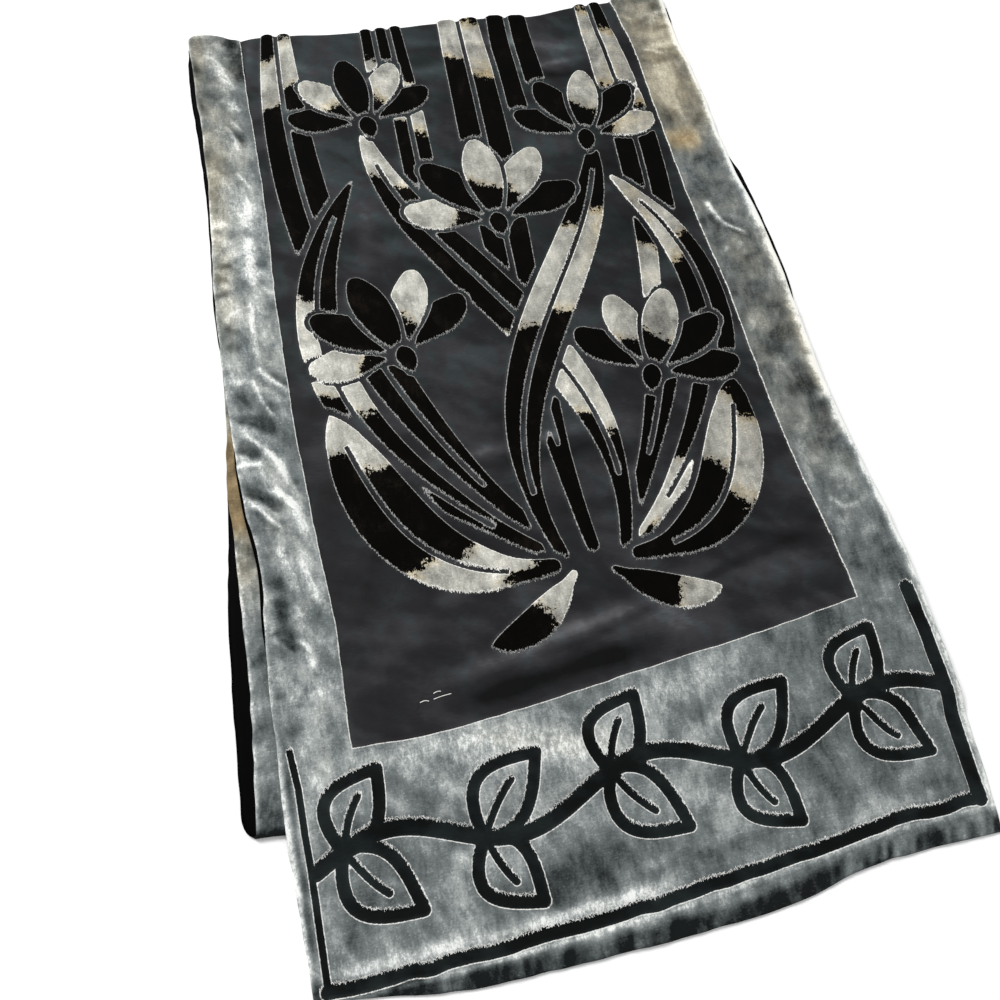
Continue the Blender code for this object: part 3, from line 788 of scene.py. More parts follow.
def mottling(across, along):
    """The pile's own uneven tone, with no painted light in it: soft patches, and slanting streaks across
    them.
    """
    bent = across + 7 * value_noise(across, along, 34, 51)
    drawn = along + 7 * value_noise(across, along, 30, 52)
    slanted = bent + np.where(across < 0, 0.55, -0.4) * drawn
    soft = 0.34 * value_noise(bent, drawn * 0.7, 19, 53) + 0.4 * value_noise(slanted, drawn * 0.36, 9, 54)
    fine = 0.26 * value_noise(slanted, drawn * 0.5, 4.6, 56)
    lines = 0.4 * (1 - np.abs(value_noise(slanted, drawn * 0.3, 12, 55))) ** 9
    even = 0.12 * ramp(across, 150, 190) * ramp(along, 560, 640)
    return (0.34 + 0.17 * (1 - ramp(across, -120, 60)) - even) * (soft + fine + lines - 0.06)


def eased(light):
    """Keeps the darkest and the brightest pile from running to plain black and white."""
    light = np.where(light < -0.55, -0.55 + 0.45 * (light + 0.55), light)
    return np.where(light > 0.9, 0.9 + 0.5 * (light - 0.9), light)


def front_painted_light_and_nap(across, along, rise, tilt, creased, ribs):
    """The front pile's painted light and shade, over its nap's own uneven tone."""
    # Painted highlights and shade: at the listed places, and along the creases, where they break into
    # specks.
    broken_highlight = 1 + 0.45 * value_noise(across + along, along, 3.2, 60)
    light = total_of(PAINTED_NAP_LIGHT, across, along) + 0.8 * creased * broken_highlight
    # Painted light and shade on the folds, by the way their slopes face.
    light += np.clip(-1.7 * tilt[0] - 1.3 * tilt[1], -0.9, 0.9)
    light = eased(light + mottling(across, along) + 0.2 - 0.41 * ramp(across, -160, 190))
    light -= 0.16 * ramp(along, 630, 690) * (1 - ramp(across, -100, 0))
    # Both turned edges catch the light, the right one in a wide pale band.
    from_left = across - side_at("left", along)
    light += 0.8 * hump(from_left, 1.6) * (0.6 + 0.4 * value_noise(across, along, 2.2, 57))
    band = (1.5 * ramp(along, 0, 30) + 0.7 * ramp(along, 150, 230)) * ramp(rise, 0.3, 0.9)
    band *= 0.85 + 0.2 * value_noise(0 * across, along, 16, 58)
    width = 5.0 + 2.4 * between(along, *WIDE_HIGHLIGHT)
    light += band * hump(side_at("right", along) - across, width, 2.5)
    # The hem's band below the frame has painted shade, with painted light and shade on its puckers and a
    # painted highlight on the crest along the frame.
    towards_right = ramp(across, 40, 120)
    puckers = (0.5 + 0.4 * towards_right) * np.maximum(np.tanh(2 * ribs), -0.55)
    shade = 0.6 * towards_right - 1.2 + 0.3 * (1 - ramp(across, -212, -190))
    light += hump(along - hem_at(across) - 3, 9, 4) * (puckers + shade)
    crest = hump(along - frame_foot(across) + 6.6, 1.7)
    return light + 0.9 * crest * (0.8 + 0.3 * value_noise(across, along, 5, 59))


def satin_light(across, along, tilt):
    """How far the satin ground catches the light, on its folds and in faint drawn patches."""
    light = total_of(SATIN_PAINTED_SHEEN, across, along) + np.clip(-3.0 * tilt[0] - 2.2 * tilt[1], -0.8, 0.8)
    light += 0.24 * value_noise(across, along * 0.8, 26, 61)
    light += 0.24 * value_noise(across + along, along, 11, 62)
    bent = along * 1.2 + 5 * value_noise(across, along, 30, 64)
    return light + 0.32 * np.tanh(2.2 * value_noise(0.6 * across + 0.3 * along, bent, 24, 63))


def placed_on_front(across, along, offset, folds):
    """The front's points in the model's frame. offset is from the ground's face, outwards."""
    axis = roll_axis_at(across)
    turn = np.clip((along - axis) / ROLL_RADIUS, 0, math.pi)
    on_roll = along > axis
    past = np.maximum(along - axis - ROLL_LENGTH, 0)
    standing = 1 - ramp(turn, math.pi / 2, math.pi)
    out = ROLL_RADIUS + np.where(offset > 0, offset * standing, offset) + folds * standing
    flat_height = front_underside(across, along) + WALL + offset + folds
    y = np.where(on_roll, axis + out * np.sin(turn) - past, along)
    z = np.where(on_roll, ROLL_RADIUS + out * np.cos(turn), flat_height)
    return framed(across, y, z)


def framed(across, along, height):
    return np.stack((across - MIDDLE_ACROSS, along - MIDDLE_ALONG, height), axis=-1) * MM


@contextmanager
def reshaped(mesh):
    """A mesh, open for bmesh operators and written back after them."""
    cloth = bmesh.new()
    cloth.from_mesh(mesh)
    yield cloth
    cloth.to_mesh(mesh)
    cloth.free()


def put_in_scene(name, data):
    thing = bpy.data.objects.new(name, data)
    bpy.context.scene.collection.objects.link(thing)
    return thing


# What a velvet's points say to its finish: how far inside the pile's cut edge and the silver dye's edge they
# are in millimetres, how far that edge faces the hem, and what the tables of painted light, dye and painted
# sheen give.
SAYS = ("pile", "silver", "fringe", "nap_and_painted_light", "dyed", "satin")


def grid_piece(name, places, values=(), keep=None):
    """A cloth from a grid of points. values are what a velvet's points say, and keep picks its squares."""
    rows, columns = places.shape[:2]
    mesh = bpy.data.meshes.new(name)
    with reshaped(mesh) as cloth:
        bmesh.ops.create_grid(cloth, x_segments=columns - 1, y_segments=rows - 1, size=0.5)
    mesh.vertices.foreach_set("co", places.reshape(-1).astype(np.float32))
    for label, value in zip(SAYS, values):
        numbers = np.ascontiguousarray(np.broadcast_to(value, (rows, columns)), np.float32)
        mesh.attributes.new(label, "FLOAT", "POINT").data.foreach_set("value", numbers.reshape(-1))
    if keep is not None:
        with reshaped(mesh) as cloth:
            cloth.faces.ensure_lookup_table()
            dropped = [cloth.faces[int(k)] for k in np.flatnonzero(~keep.reshape(-1))]
            bmesh.ops.delete(cloth, geom=dropped, context="FACES")
    mesh.shade_smooth()
    return put_in_scene(name, mesh)


def make_front():
    """The front's two pieces: the field, and the borders with the end panel."""
    across, along, rise = front_plan()
    across, along, pile, silver, fringe = snapped(across, along, free_points(across, along))
    creased, crease_painted_light = creases(across, along)
    ribs = hem_ribs(across, along)
    plump = ramp(pile, -STEP, 5.0) * ramp(along - roll_axis_at(across), -8.0, 3.0)
    folds = wrinkles(across, along) + creased + ribs + 1.3 * plump
    lift = PILE * (0.82 * ramp(pile, -STEP, STEP) + 0.18 * ramp(pile, STEP, 2.4))
    places = placed_on_front(across, along, rise * (WALL + lift) - WALL, folds * rise)
    tilt = [
        np.gradient(folds, axis=k) / np.maximum(np.gradient(way, axis=k), 0.3)
        for k, way in enumerate((along, across))
    ]
    nap_and_painted_light = front_painted_light_and_nap(across, along, rise, tilt, crease_painted_light, ribs)
    dyed = np.clip(total_of(DYED, across, along), 0, 2)
    satin = satin_light(across, along, tilt)
    values = (np.clip(pile, -30, 30), np.clip(silver, -40, 40), fringe, nap_and_painted_light, dyed, satin)
    in_field = np.zeros((len(across) - 1, across.shape[1] - 1), bool)
    in_field[FOOT_ROW - 1 :, FIELD_FIRST - 1 : FIELD_LAST + 1] = True
    field = grid_piece("front_field", places, values, in_field)
    return field, grid_piece("front_surround", places, values, ~in_field)


# ---------------------------------------------------------------- the hidden layers and the linings

FOLD_MIDDLE = FRONT_FOLD + 2.8  # where the cloth starts to turn round the near fold
FOLD_RADIUS = 1.8
FACE_DOWN_HALF = 0.8  # half the thickness of the face-down stretch, and its height
TURNED_HALF = 1.2
TURNED_HEIGHT = 4.4
RIM_TURNS = [math.radians(degrees) for degrees in (-90, -45, 0, 45, 90)]
INSETS = (3.0, 5.0, 7.5, 10.0, 13.0, 16.0, 20.0, 25.0)
BRONZED = (318, 340, 400, 416)  # the stretch of the turned-up end's left edge that the old dye has bronzed
LINING_SHOWS = (440, 470, 600, 625)  # the stretch where the under lining looks out furthest at the right
LINING_TUCK = 780.0  # from here to its end the under lining is drawn in, so that it stays inside the roll
LINING_END = 840.0


def hidden_rows():
    """Rows along the hidden cloth: the place and facing of its middle, half its thickness, and two shares.

    The shares are how far round the near fold a row is, and how far up its points stand.
    """
    low = FACE_DOWN_HALF
    rows = [(along, low, 0, -1, low, 0, 1) for along in np.arange(HIDDEN_BACK, FOLD_MIDDLE, -4.0)]
    for share in np.arange(0, 11) / 10:
        sine, cosine = math.sin(math.pi * share), math.cos(math.pi * share)
        y = FOLD_MIDDLE - FOLD_RADIUS * sine
        half = low + (TURNED_HALF - low) * share
        rows.append((y, low + FOLD_RADIUS * (1 - cosine), -sine, -cosine, half, share, 1))
    last = TURNED_END - TURNED_HALF
    for along in np.arange(FRONT_FOLD + 6.0, last, 3.5):
        rows.append((along, TURNED_HEIGHT, 0, 1, TURNED_HALF, 1, 1))
    for turn in RIM_TURNS[::-1]:
        y = last + TURNED_HALF * math.cos(turn)
        rows.append((y, TURNED_HEIGHT, 0, 1, TURNED_HALF, 1, math.sin(turn)))
    return [np.array(column, float)[:, None] for column in zip(*rows)]


def hidden_columns():
    """Columns across the hidden cloth: the weight of its right edge, an inset, and how far up they stand."""
    rim = [(0, 9.0, -1.0)] + [(0, 1 - math.cos(turn), math.sin(turn)) for turn in RIM_TURNS]
    rim += [(0, inset, 1.0) for inset in INSETS]
    middle = [(t, 0.0, 1.0) for t in np.linspace(0.07, 0.93, 50)]
    columns = rim + middle + [(1, -inset, up) for _, inset, up in rim[::-1]]
    return [np.array(column) for column in zip(*columns)]


def round_corner(past):
    """How far an edge has drawn in, past being the share of the corner's length that is behind."""
    return 1 - np.sqrt(1 - np.clip(past, 0, 1) ** 2)


def make_hidden():
    """The face-down stretch and the turned-up end, one cloth round the fold in front."""
    y, z, normal_y, normal_z, half, share, end = hidden_rows()
    weight, inset, up = hidden_columns()
    drawn_in = ramp(share, 0.42, 0.95)
    left = edge_at(HIDDEN, "left", y) * (1 - drawn_in) + edge_at(HIDDEN, "turned_left", y) * drawn_in
    left += 0.5 * value_noise(0 * y, y, 12, 31) + 3.0 * round_corner((112.0 - y) / 5.0)
    right = edge_at(HIDDEN, "right", y) - 2 * share + 0.5 * value_noise(0 * y, y, 12, 32)
    shift = np.where(np.abs(inset) <= 1.0, inset * half, inset)
    across = left * (1 - weight) + right * weight + shift
    up = np.minimum(up, end)
    out = half * up + 0.3 * value_noise(across, y, 18, 33) * share * (up > 0.9)
    # The near fold draws back a little at its left end.
    forward = 3.0 * ramp(across, -272, -235) * (1 - ramp(y, 108, 124))
    places = framed(across, y + normal_y * out - forward, z + normal_z * out)
    bronze = between(y, *BRONZED) * (across < 0)
    # A painted highlight along the turned-up end's edges, ending at about 340 along and fainter where
    # bronzed.
    rim = hump(np.minimum(across - left, right - across) - 0.6, 2.0) * (1 - ramp(y, 330, 350))
    rim = rim * (0.7 + 0.5 * value_noise(across, y, 2.4, 36)) * share * (1 - 0.8 * bronze)
    spots = 0.38 * value_noise(across, y, 9, 34) + 0.28 * value_noise(across, y * 0.8, 4, 35)
    nap_and_painted_light = spots - 0.12 + 0.3 * ramp(y, 230, 260) + rim - 0.42 * bronze - 0.12 * ramp(y, 190, 230)
    # Painted shade where the cloth turns round the near fold, deepest at the fold itself.
    nap_and_painted_light = nap_and_painted_light - 0.32 * (1 - ramp(y, 109, 126)) * share - 1.4 * (1 - ramp(y, 106, 114))
    dyed = np.clip(1.45 * bronze + 0.55 * ramp(y, 220, 310) * share, 0, 2)
    return grid_piece("hidden_layers", places, (20.0, 40.0, 0.0, nap_and_painted_light, dyed, 0.0))


def lining_piece(name, places, thickness):
    """A cloth with its thickness, from its face down."""
    piece = grid_piece(name, places)
    with reshaped(piece.data) as cloth:
        bmesh.ops.recalc_face_normals(cloth, faces=cloth.faces)
        bmesh.ops.solidify(cloth, geom=cloth.faces, thickness=thickness * MM)
    piece.data.shade_smooth()
    return piece


def make_under_lining():
    """The lining between the hidden layers, which shows beyond the turned-up end."""
    first = FRONT_FOLD + 0.9
    along = np.array((0.9, 1.1, 1.5, 2.1, 2.9, 3.9, 5.0, 8.0)) + FRONT_FOLD
    along = np.concatenate((along, np.arange(FRONT_FOLD + 12, LINING_END, 3)))[:, None]
    left = edge_at(HIDDEN, "left", along) - 0.6 + 0.3 * value_noise(0 * along, along, 10, 41)
    left += 2.0 * ramp(along, 815, 832) + 3.2 * round_corner(1 - (along - first) / 4)
    shows = between(along, *LINING_SHOWS) + ramp(along, 790, 805)
    right = edge_at(HIDDEN, "right", along) + 0.8 + 2.0 * shows
    right -= 0.3 * value_noise(0 * along, along, 10, 42)
    # At the back it ends short of the roll's right end.
    right = np.where(along > 826, np.minimum(right, 226), right)
    shares = np.concatenate((np.linspace(0, 0.05, 9), np.linspace(0.1, 0.9, 17), np.linspace(0.95, 1, 9)))
    across = left + (right - left) * shares
    sunk = 0.5 * (1 - ramp(np.minimum(across - left, right - across), 0, 1.4))
    height = 2.85 + 0.1 * value_noise(across, along, 14, 43) - sunk
    drawn_in = (roll_axis_at(across) + 1 - LINING_TUCK) / (LINING_END - LINING_TUCK)
    along = np.where(along > LINING_TUCK, LINING_TUCK + (along - LINING_TUCK) * drawn_in, along)
    return lining_piece("under_lining", framed(across, along, height), 0.7)


def make_front_lining():
    """The lining behind the front, set in from its edges."""
    along = np.concatenate((np.linspace(-8, 60, 12), np.linspace(64, 108, 12), np.linspace(114, 815, 120)))
    along = along[:, None]
    left = edge_at(FRONT, "left", along) - smooth_curve(*zip(*ROLLED_OUT_AND_SHADOW), along)
    right = edge_at(FRONT, "right", along) - 9
    across = left + (right - left) * np.linspace(0, 1, 42) ** 1.3
    along = np.maximum(along, hem_at(across) + 8)
    return lining_piece("front_lining", framed(across, along, front_underside(across, along) + 0.25), 0.2)


# Silk threads that have been pulled out of the ground and lie on it, as lines through points.
PULLED = (
    ((-144.0, 173.2), (-140.5, 173.8), (-137.5, 173.0)),
    ((-134.0, 173.6), (-128.0, 174.5), (-121.0, 175.0)),
    ((-133.5, 177.6), (-130.5, 178.4), (-128.0, 178.2)),
)
THREAD_RADIUS = 0.32
THREAD_LIFT = 0.2  # of its middle over the ground, at its ends
THREAD_ARCH = 0.3


def make_threads():
    data = bpy.data.curves.new("pulled_threads", "CURVE")
    data.dimensions = "3D"
    data.bevel_depth = THREAD_RADIUS * MM
    data.bevel_resolution = 1
    data.use_fill_caps = True
    fine = np.linspace(0, 1, 9)
    for points in PULLED:
        across, along = (smooth_curve(np.linspace(0, 1, len(points)), part, fine) for part in zip(*points))
        height = front_underside(across, along) + WALL + wrinkles(across, along)
        places = framed(across, along, height + THREAD_LIFT + THREAD_ARCH * np.sin(np.pi * fine))
        spline = data.splines.new("POLY")
        spline.points.add(len(fine) - 1)
        weighted = np.concatenate((places, np.ones((len(fine), 1))), axis=1)
        spline.points.foreach_set("co", weighted.reshape(-1))
    curve = put_in_scene("pulled threads curve", data)
    bpy.context.view_layer.update()
    mesh = bpy.data.meshes.new_from_object(curve.evaluated_get(bpy.context.evaluated_depsgraph_get()))
    bpy.data.objects.remove(curve)
    return put_in_scene("pulled_threads", mesh)


# ---------------------------------------------------------------- finishes

SMOOTH = {"interpolation_type": "SMOOTHSTEP"}
TIMES = {"operation": "MULTIPLY"}
TIMES_PLUS = {"operation": "MULTIPLY_ADD"}  # the first x the second + the third
COLOURS = {"data_type": "RGBA", "output": 2}
USUAL = (0.3, 0.7)  # where a noise's values mostly lie
EVEN = (*USUAL, -0.5, 0.5)  # brings them to half a step either side of 0


def colour(code):
    """Linear red, green, blue and alpha from an sRGB hex code."""
    shares = [int(code[k : k + 2], 16) / 255 for k in (1, 3, 5)]
    return [s / 12.92 if s <= 0.04045 else ((s + 0.055) / 1.055) ** 2.4 for s in shares] + [1.0]


def add(tree, kind, *values, stops=(), output=0, **named):
    """Adds a node, and returns one of its outputs.

    values go to its sockets in order, or a dict gives each its own. Names with a capital are sockets as
    well, with underlines for spaces, and the others are the node's settings. stops are a ramp's places and
    colours.
    """
    node = tree.nodes.new("ShaderNode" + kind)
    sockets = dict(values[0]) if values and isinstance(values[0], dict) else dict(enumerate(values))
    for name, value in named.items():
        if name[0].isupper():
            sockets[name.replace("_", " ")] = value
        else:
            setattr(node, name, value)
    for socket, value in sockets.items():
        if isinstance(value, bpy.types.NodeSocket):
            tree.links.new(value, node.inputs[socket])
        else:
            node.inputs[socket].default_value = value
    for k, (place, code) in enumerate(stops):
        element = node.color_ramp.elements[k] if k < 2 else node.color_ramp.elements.new(place)
        element.position = place
        element.color = colour(code)
    return node.outputs[output] if node.outputs else node


def new_finish(name):
    """A material, the function that adds its nodes, and places in the object's own frame."""
    material = bpy.data.materials.new(name)
    material.use_nodes = True
    material.node_tree.nodes.clear()
    node = functools.partial(add, material.node_tree)
    return material, node, node("TexCoord", output=3)


def patches(node, place, per_mm, stretch=(1, 1, 1), turn=0.0, detail=2.0, roughness=0.5, bend=0.0):
    """Noise whose patches are 1 / per_mm millimetres across."""
    turned = node("Mapping", Vector=place, Rotation=(0, 0, turn), Scale=stretch)
    fineness = {"Scale": per_mm / MM, "Detail": detail, "Roughness": roughness}
    return node("TexNoise", Vector=turned, Distortion=bend, **fineness)


VelvetLook = namedtuple("VelvetLook", "pale ground black_rim pale_rim sheen clouds grain warmth")
VELVET_LOOKS = {
    "grey silk velvet": VelvetLook(
        ((0.0, "#161919"), (0.22, "#3D4242"), (0.5, "#6C7272"), (0.75, "#A2A7A5"), (1.0, "#E4E6E3")),
        # The grey velvet's ground is darker than the field's: partly its own colour, partly painted shade in
        # the end panel's narrow grooves.
        ((0.0, "#020303"), (0.35, "#0C0F0F"), (0.6, "#1C2222"), (1.0, "#363E3E")),
        "#7E8584",
        "#DFDFDB",
        sheen=0.06,
        clouds=0.27,
        grain=0.13,
        warmth=0.3,
    ),
    "devore silk velvet": VelvetLook(
        ((0.0, "#484743"), (0.25, "#787771"), (0.5, "#A1A098"), (0.75, "#C6C5BC"), (1.0, "#F6F5EE")),
        ((0.0, "#0D0D0E"), (0.35, "#222224"), (0.6, "#37373A"), (1.0, "#6E6E71")),
        "#9FA09D",
        "#EFEEE8",
        sheen=0.0,
        clouds=0.44,
        grain=0.2,
        warmth=1.0,
    ),
}
BEIGE = ((0.0, "#2E2A22"), (0.5, "#8E846D"), (0.75, "#BDB49C"), (1.0, "#EDE7D8"))
RUST = ((0.0, "#2A2218"), (0.5, "#8C7A5C"), (0.75, "#B9A580"), (1.0, "#E8DCC2"))
BLACK_PILE = ((0.0, "#010101"), (0.6, "#040302"), (1.0, "#15110D"))
TEAL_GROUND = ((0.0, "#0B0D0D"), (0.35, "#202526"), (0.6, "#343B3C"), (1.0, "#687273"))


def voided_velvet(name):
    """Silk velvet with its pile burnt away in a pattern.

    Its soft pile has painted light and shade in patches, over a smooth charcoal satin ground with painted
    sheen.
    The pile's cut edges are frayed towards the hem, and pale along their rim.
    """
    look = VELVET_LOOKS[name]
    material, node, place = new_finish(name)
    pile, silver, fringe, nap_and_painted_light, dyed, satin = (
        node("Attribute", attribute_name=label, output=2) for label in SAYS
    )
    # Hairs lie along the stole, about 1 mm apart, and stand out up to 1.4 mm where the edge faces the hem.
    hair = node("MapRange", patches(node, place, 1.15, (1, 0.26, 1), detail=1.5), *EVEN)
    frayed = node("Math", hair, node("Math", fringe, 2.5, 0.3, **TIMES_PLUS), **TIMES)
    edge = node("Math", fringe, 0.15, node("Math", pile, frayed, operation="ADD"), **TIMES_PLUS)
    on_pile = node("MapRange", edge, -0.14, 0.14, **SMOOTH)
    # The dyed patches end in ragged lines, with single tufts of 1 mm beyond them.
    ragged = patches(node, place, 0.16, detail=5.0, roughness=0.7)
    tufted = patches(node, place, 0.9, (1, 0.6, 1), detail=1.0)
    dye_edge = node("Math", node("MapRange", ragged, *USUAL, -6.5, 6.5), 1.0, silver, **TIMES_PLUS)
    dye_edge = node("Math", node("MapRange", tufted, *USUAL, -1.0, 1.0), 2.0, dye_edge, **TIMES_PLUS)
    dye_edge = node("Math", hair, 2.4, dye_edge, **TIMES_PLUS)
    on_silver = node("MapRange", dye_edge, -0.45, 0.45, **SMOOTH)
    # Brushed patches of 20 mm, crushed streaks of 5 mm, and the pile's grain of 1 to 2 mm, with painted
    # glints.
    clouds = patches(node, place, 0.05, (1, 0.8, 1), 0.4, 3.0, 0.5, 0.6)
    streaks = patches(node, place, 0.2, (1, 0.35, 1), -0.4, 3.0, 0.6, 0.5)
    combed = patches(node, place, 0.55, (0.3, 1.3, 1), 0.12, 3.0, 0.65)
    grain = patches(node, place, 0.8, (0.8, 1, 1), detail=3.0, roughness=0.7)
    # The pile's level starts from the painted light and nap that its points carry.
    level = node("Math", nap_and_painted_light, 0.42, 0.5, **TIMES_PLUS)
    for noise, amount in ((clouds, look.clouds), (streaks, 0.15), (combed, 0.09), (grain, look.grain)):
        level = node("Math", node("MapRange", noise, *EVEN), amount, level, **TIMES_PLUS)
    painted_glints = node("MapRange", grain, 0.60, 0.72, 0.0, look.grain, **SMOOTH)
    level = node("Math", level, painted_glints, operation="ADD")
    # Where highlights are painted they break into specks of 1 to 3 mm, drawn along the creases.
    crushed = patches(node, place, 0.5, (1, 0.5, 1), -0.5, 4.0, 0.75, 0.4)
    painted_highlight_specks = node("MapRange", crushed, 0.38, 0.66, -0.5, 0.5, **SMOOTH)
    share = node("MapRange", nap_and_painted_light, -0.2, 0.9, 0.03, 0.25, **SMOOTH)
    level = node("Math", painted_highlight_specks, share, level, **TIMES_PLUS)
    # The old dye has turned parts of the pile beige, and a few rust. It is warmest near the black.
    pale = node("ValToRGB", level, stops=look.pale)
    beige = node("ValToRGB", level, stops=BEIGE)
    near_dye = node("MapRange", dye_edge, 0.5, 13.0, 0.65, 0.0, **SMOOTH)
    warmth = node("Math", node("MapRange", clouds, 0.35, 0.65, -0.35, 0.35), look.warmth, dyed, **TIMES_PLUS)
    warmth = node("Math", near_dye, look.warmth, warmth, **TIMES_PLUS)
    rust = node("ValToRGB", level, stops=RUST)
    pale = node("Mix", {0: node("MapRange", warmth, 0.1, 1.1, **SMOOTH), 6: pale, 7: beige}, **COLOURS)
    pale = node("Mix", {0: node("MapRange", warmth, 0.9, 1.9, **SMOOTH), 6: pale, 7: rust}, **COLOURS)
    black = node("ValToRGB", level, stops=BLACK_PILE)
    cut = node("Mix", {0: on_silver, 6: black, 7: pale}, **COLOURS)
    # The rim: a pale broken line just inside the pile's edge, where the cut tufts part. It is widest where
    # the edge faces the hem.
    rim = node("MapRange", edge, -0.05, 0.2, **SMOOTH)
    inner = node("Math", fringe, -0.35, edge, **TIMES_PLUS)
    rim = node("Math", rim, node("MapRange", inner, 0.5, 0.9, 1.0, 0.0, **SMOOTH), **TIMES)
    broken = node("MapRange", patches(node, place, 0.7, detail=3.0), 0.34, 0.56, 0.3, 0.97, **SMOOTH)
    rim = node("Math", rim, broken, **TIMES)
    tip = {0: on_silver, 6: colour(look.black_rim), 7: colour(look.pale_rim)}
    cut = node("Mix", {0: rim, 6: cut, 7: node("Mix", tip, **COLOURS)}, **COLOURS)
    # The satin ground takes its painted sheen, and is palest beside the pile: painted sheen there, with
    # stray tufts lying on it.
    shine = node("Math", satin, 0.3, 0.38, **TIMES_PLUS)
    for noise, amount in ((clouds, 0.1), (combed, 0.07)):
        shine = node("Math", node("MapRange", noise, *EVEN), amount, shine, **TIMES_PLUS)
    tufts = node("MapRange", edge, -2.4, -0.6, 0.0, 0.07, **SMOOTH)
    shine = node("Math", tufts, 1.0, shine, **TIMES_PLUS)
    ground = node("ValToRGB", shine, stops=look.ground)
    if look.sheen == 0:
        # The field's ground turns from charcoal near the hem to a greener grey by the roll.
        far = node("MapRange", node("SeparateXYZ", place, output=1), -0.2, 0.35, 0.0, 0.5, **SMOOTH)
        cloudy = node("MapRange", clouds, 0.42, 0.6, -0.4, 0.4, **SMOOTH)
        greener = node("MapRange", node("Math", cloudy, 1.0, far, **TIMES_PLUS), 0.0, 0.9, **SMOOTH)
        teal = node("ValToRGB", shine, stops=TEAL_GROUND)
        ground = node("Mix", {0: greener, 6: ground, 7: teal}, **COLOURS)
    shown = node("Mix", {0: on_pile, 6: ground, 7: cut}, **COLOURS)
    # The ground's satin is woven in ribs, drawn 0.8 mm apart, coarser than they are, so that they show.
    ribs = node("Mapping", Vector=place, Rotation=(0, 0, 0.5), Scale=(1, 1, 1))
    weave = node("TexWave", Vector=ribs, Scale=0.314 / 0.8 / MM, Distortion=2.0, Detail=1.0)
    nap = patches(node, place, 1.6, (1, 0.7, 1), detail=2.0)
    weave = node("Math", weave, 0.12, 0.0, **TIMES_PLUS)
    relief = node("Mix", {0: on_pile, 2: weave, 3: nap}, data_type="FLOAT")
    bump = node("Bump", Strength=0.55, Distance=0.35 * MM, Height=relief)
    dullness = node("MapRange", on_pile, 0, 1, 0.5, 0.9)
    sheen = {"Sheen_Weight": look.sheen, "Sheen_Roughness": 0.35, "Sheen_Tint": colour("#DDE2E2")}
    sheen["Specular_IOR_Level"] = 0.05
    shader = node("BsdfPrincipled", Base_Color=shown, Roughness=dullness, Normal=bump, **sheen)
    node("OutputMaterial", Surface=shader)
    return material


def lining_cloth():
    """Black rayon lining in plain weave: near black, with a faint gloss broken by its threads."""
    material, node, place = new_finish("black rayon lining")
    soft = patches(node, place, 0.03, detail=4.0)
    threads = patches(node, place, 1.2, (1, 0.3, 1), detail=1.0)
    shown = node("ValToRGB", soft, stops=((0.3, "#010101"), (0.7, "#040405")))
    bump = node("Bump", Strength=0.3, Distance=0.2 * MM, Height=threads)
    dullness = node("MapRange", soft, *USUAL, 0.5, 0.65)
    look = {"Base_Color": shown, "Roughness": dullness, "Specular_IOR_Level": 0.02}
    shader = node("BsdfPrincipled", Normal=bump, **look)
    node("OutputMaterial", Surface=shader)
    return material


def silk_thread():
    """Undyed silk thread: off-white, with its own soft gloss."""
    material, node, place = new_finish("undyed silk thread")
    twist = patches(node, place, 1.5, detail=1.0)
    shown = node("ValToRGB", twist, stops=((0.3, "#BDBBB4"), (0.7, "#F4F3EF")))
    bump = node("Bump", Strength=0.3, Distance=0.05 * MM, Height=twist)
    node("OutputMaterial", Surface=node("BsdfPrincipled", Base_Color=shown, Roughness=0.45, Normal=bump))
    return material


def floor_paper():
    """Matt white paper: even, with no gloss."""
    material, node, place = new_finish("white paper floor")
    shown = node("ValToRGB", patches(node, place, 0.004), stops=((0.0, "#F6F6F6"), (1.0, "#FAFAFA")))
    shader = node("BsdfPrincipled", Base_Color=shown, Roughness=0.95, Specular_IOR_Level=0.1)
    node("OutputMaterial", Surface=shader)
    return material


# ---------------------------------------------------------------- the studio

CAMERA_PLACE = (-151.7, -380.2, 701.3)
CAMERA_TURNS = (23.516, -21.479, 9.621)  # degrees of tilt up from straight down, turn to the right, and roll
LENS = 35.0
SENSOR_WIDTH = 36.0
WINDOW_PLACE = (-1.8, 2.2, 3.4)
WINDOW_SIZE = 2.0
WINDOW_POWER = 160.0
SKY_STRENGTH = 0.66
FLOOR_HALF = 4.0
FLOOR_DROP = 0.0003  # metres, which keeps the floor clear of the cloth's underside


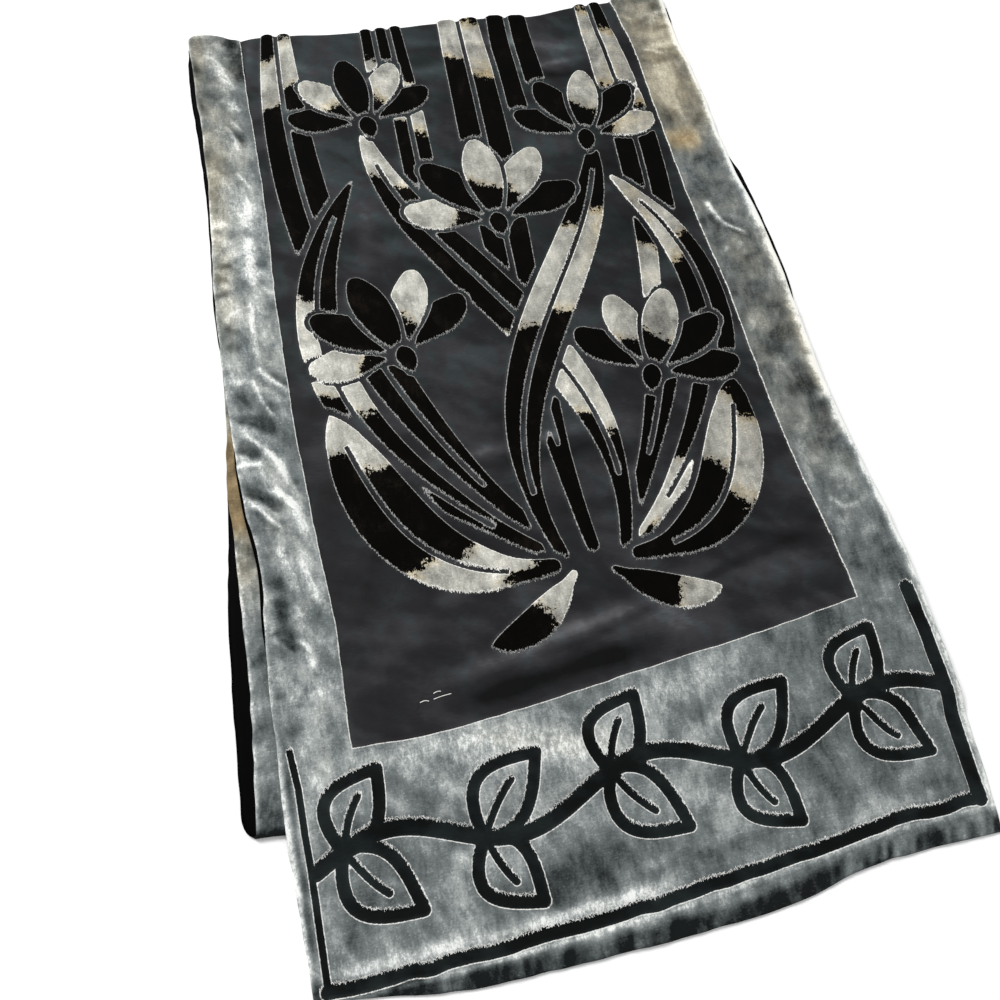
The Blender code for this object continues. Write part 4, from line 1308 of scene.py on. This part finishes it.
def make_camera():
    data = bpy.data.cameras.new("camera")
    data.lens = LENS
    data.sensor_width = SENSOR_WIDTH
    camera = put_in_scene("camera", data)
    tilt, turn, roll = (math.radians(degrees) for degrees in CAMERA_TURNS)
    aim = Matrix.Rotation(turn, 4, "Z") @ Matrix.Rotation(tilt, 4, "X") @ Matrix.Rotation(roll, 4, "Z")
    camera.matrix_world = Matrix.Translation(Vector(CAMERA_PLACE) * MM) @ aim
    bpy.context.scene.camera = camera


def make_window():
    data = bpy.data.lights.new("window", "AREA")
    data.shape = "DISK"
    data.size = WINDOW_SIZE
    data.energy = WINDOW_POWER
    light = put_in_scene("window", data)
    light.location = WINDOW_PLACE
    light.rotation_euler = Vector(WINDOW_PLACE).to_track_quat("Z", "Y").to_euler()


def make_studio():
    mesh = bpy.data.meshes.new("floor")
    with reshaped(mesh) as paper:
        bmesh.ops.create_grid(paper, x_segments=1, y_segments=1, size=FLOOR_HALF)
    mesh.transform(Matrix.Translation((0, 0, -FLOOR_DROP)))
    mesh.materials.append(floor_paper())
    put_in_scene("floor", mesh)
    world = bpy.data.worlds.new("studio")
    bpy.context.scene.world = world
    world.use_nodes = True
    sky = world.node_tree.nodes["Background"]
    sky.inputs["Color"].default_value = (1.0, 1.0, 1.0, 1.0)
    sky.inputs["Strength"].default_value = SKY_STRENGTH
    make_window()
    bpy.context.scene.view_settings.view_transform = "Standard"


# ---------------------------------------------------------------- the stole, put together


def finish_piece(piece, material, slot, *nodes):
    piece.data.materials.append(material)
    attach(piece, "root")
    if nodes:
        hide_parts(*nodes)


field, surround = make_front()
hidden = make_hidden()
under_lining = make_under_lining()
front_lining = make_front_lining()
threads = make_threads()
grey_velvet = voided_velvet("grey silk velvet")
lining = lining_cloth()
finish_piece(surround, grey_velvet, "velvet", "front_panel")
finish_piece(field, voided_velvet("devore silk velvet"), "velvet", "front_panel")
finish_piece(hidden, grey_velvet, "velvet", "folded_layers")
finish_piece(under_lining, lining, "lining", "lining_left", "lining_right")
finish_piece(front_lining, lining, "lining")
finish_piece(threads, silk_thread(), "velvet")
make_camera()
make_studio()
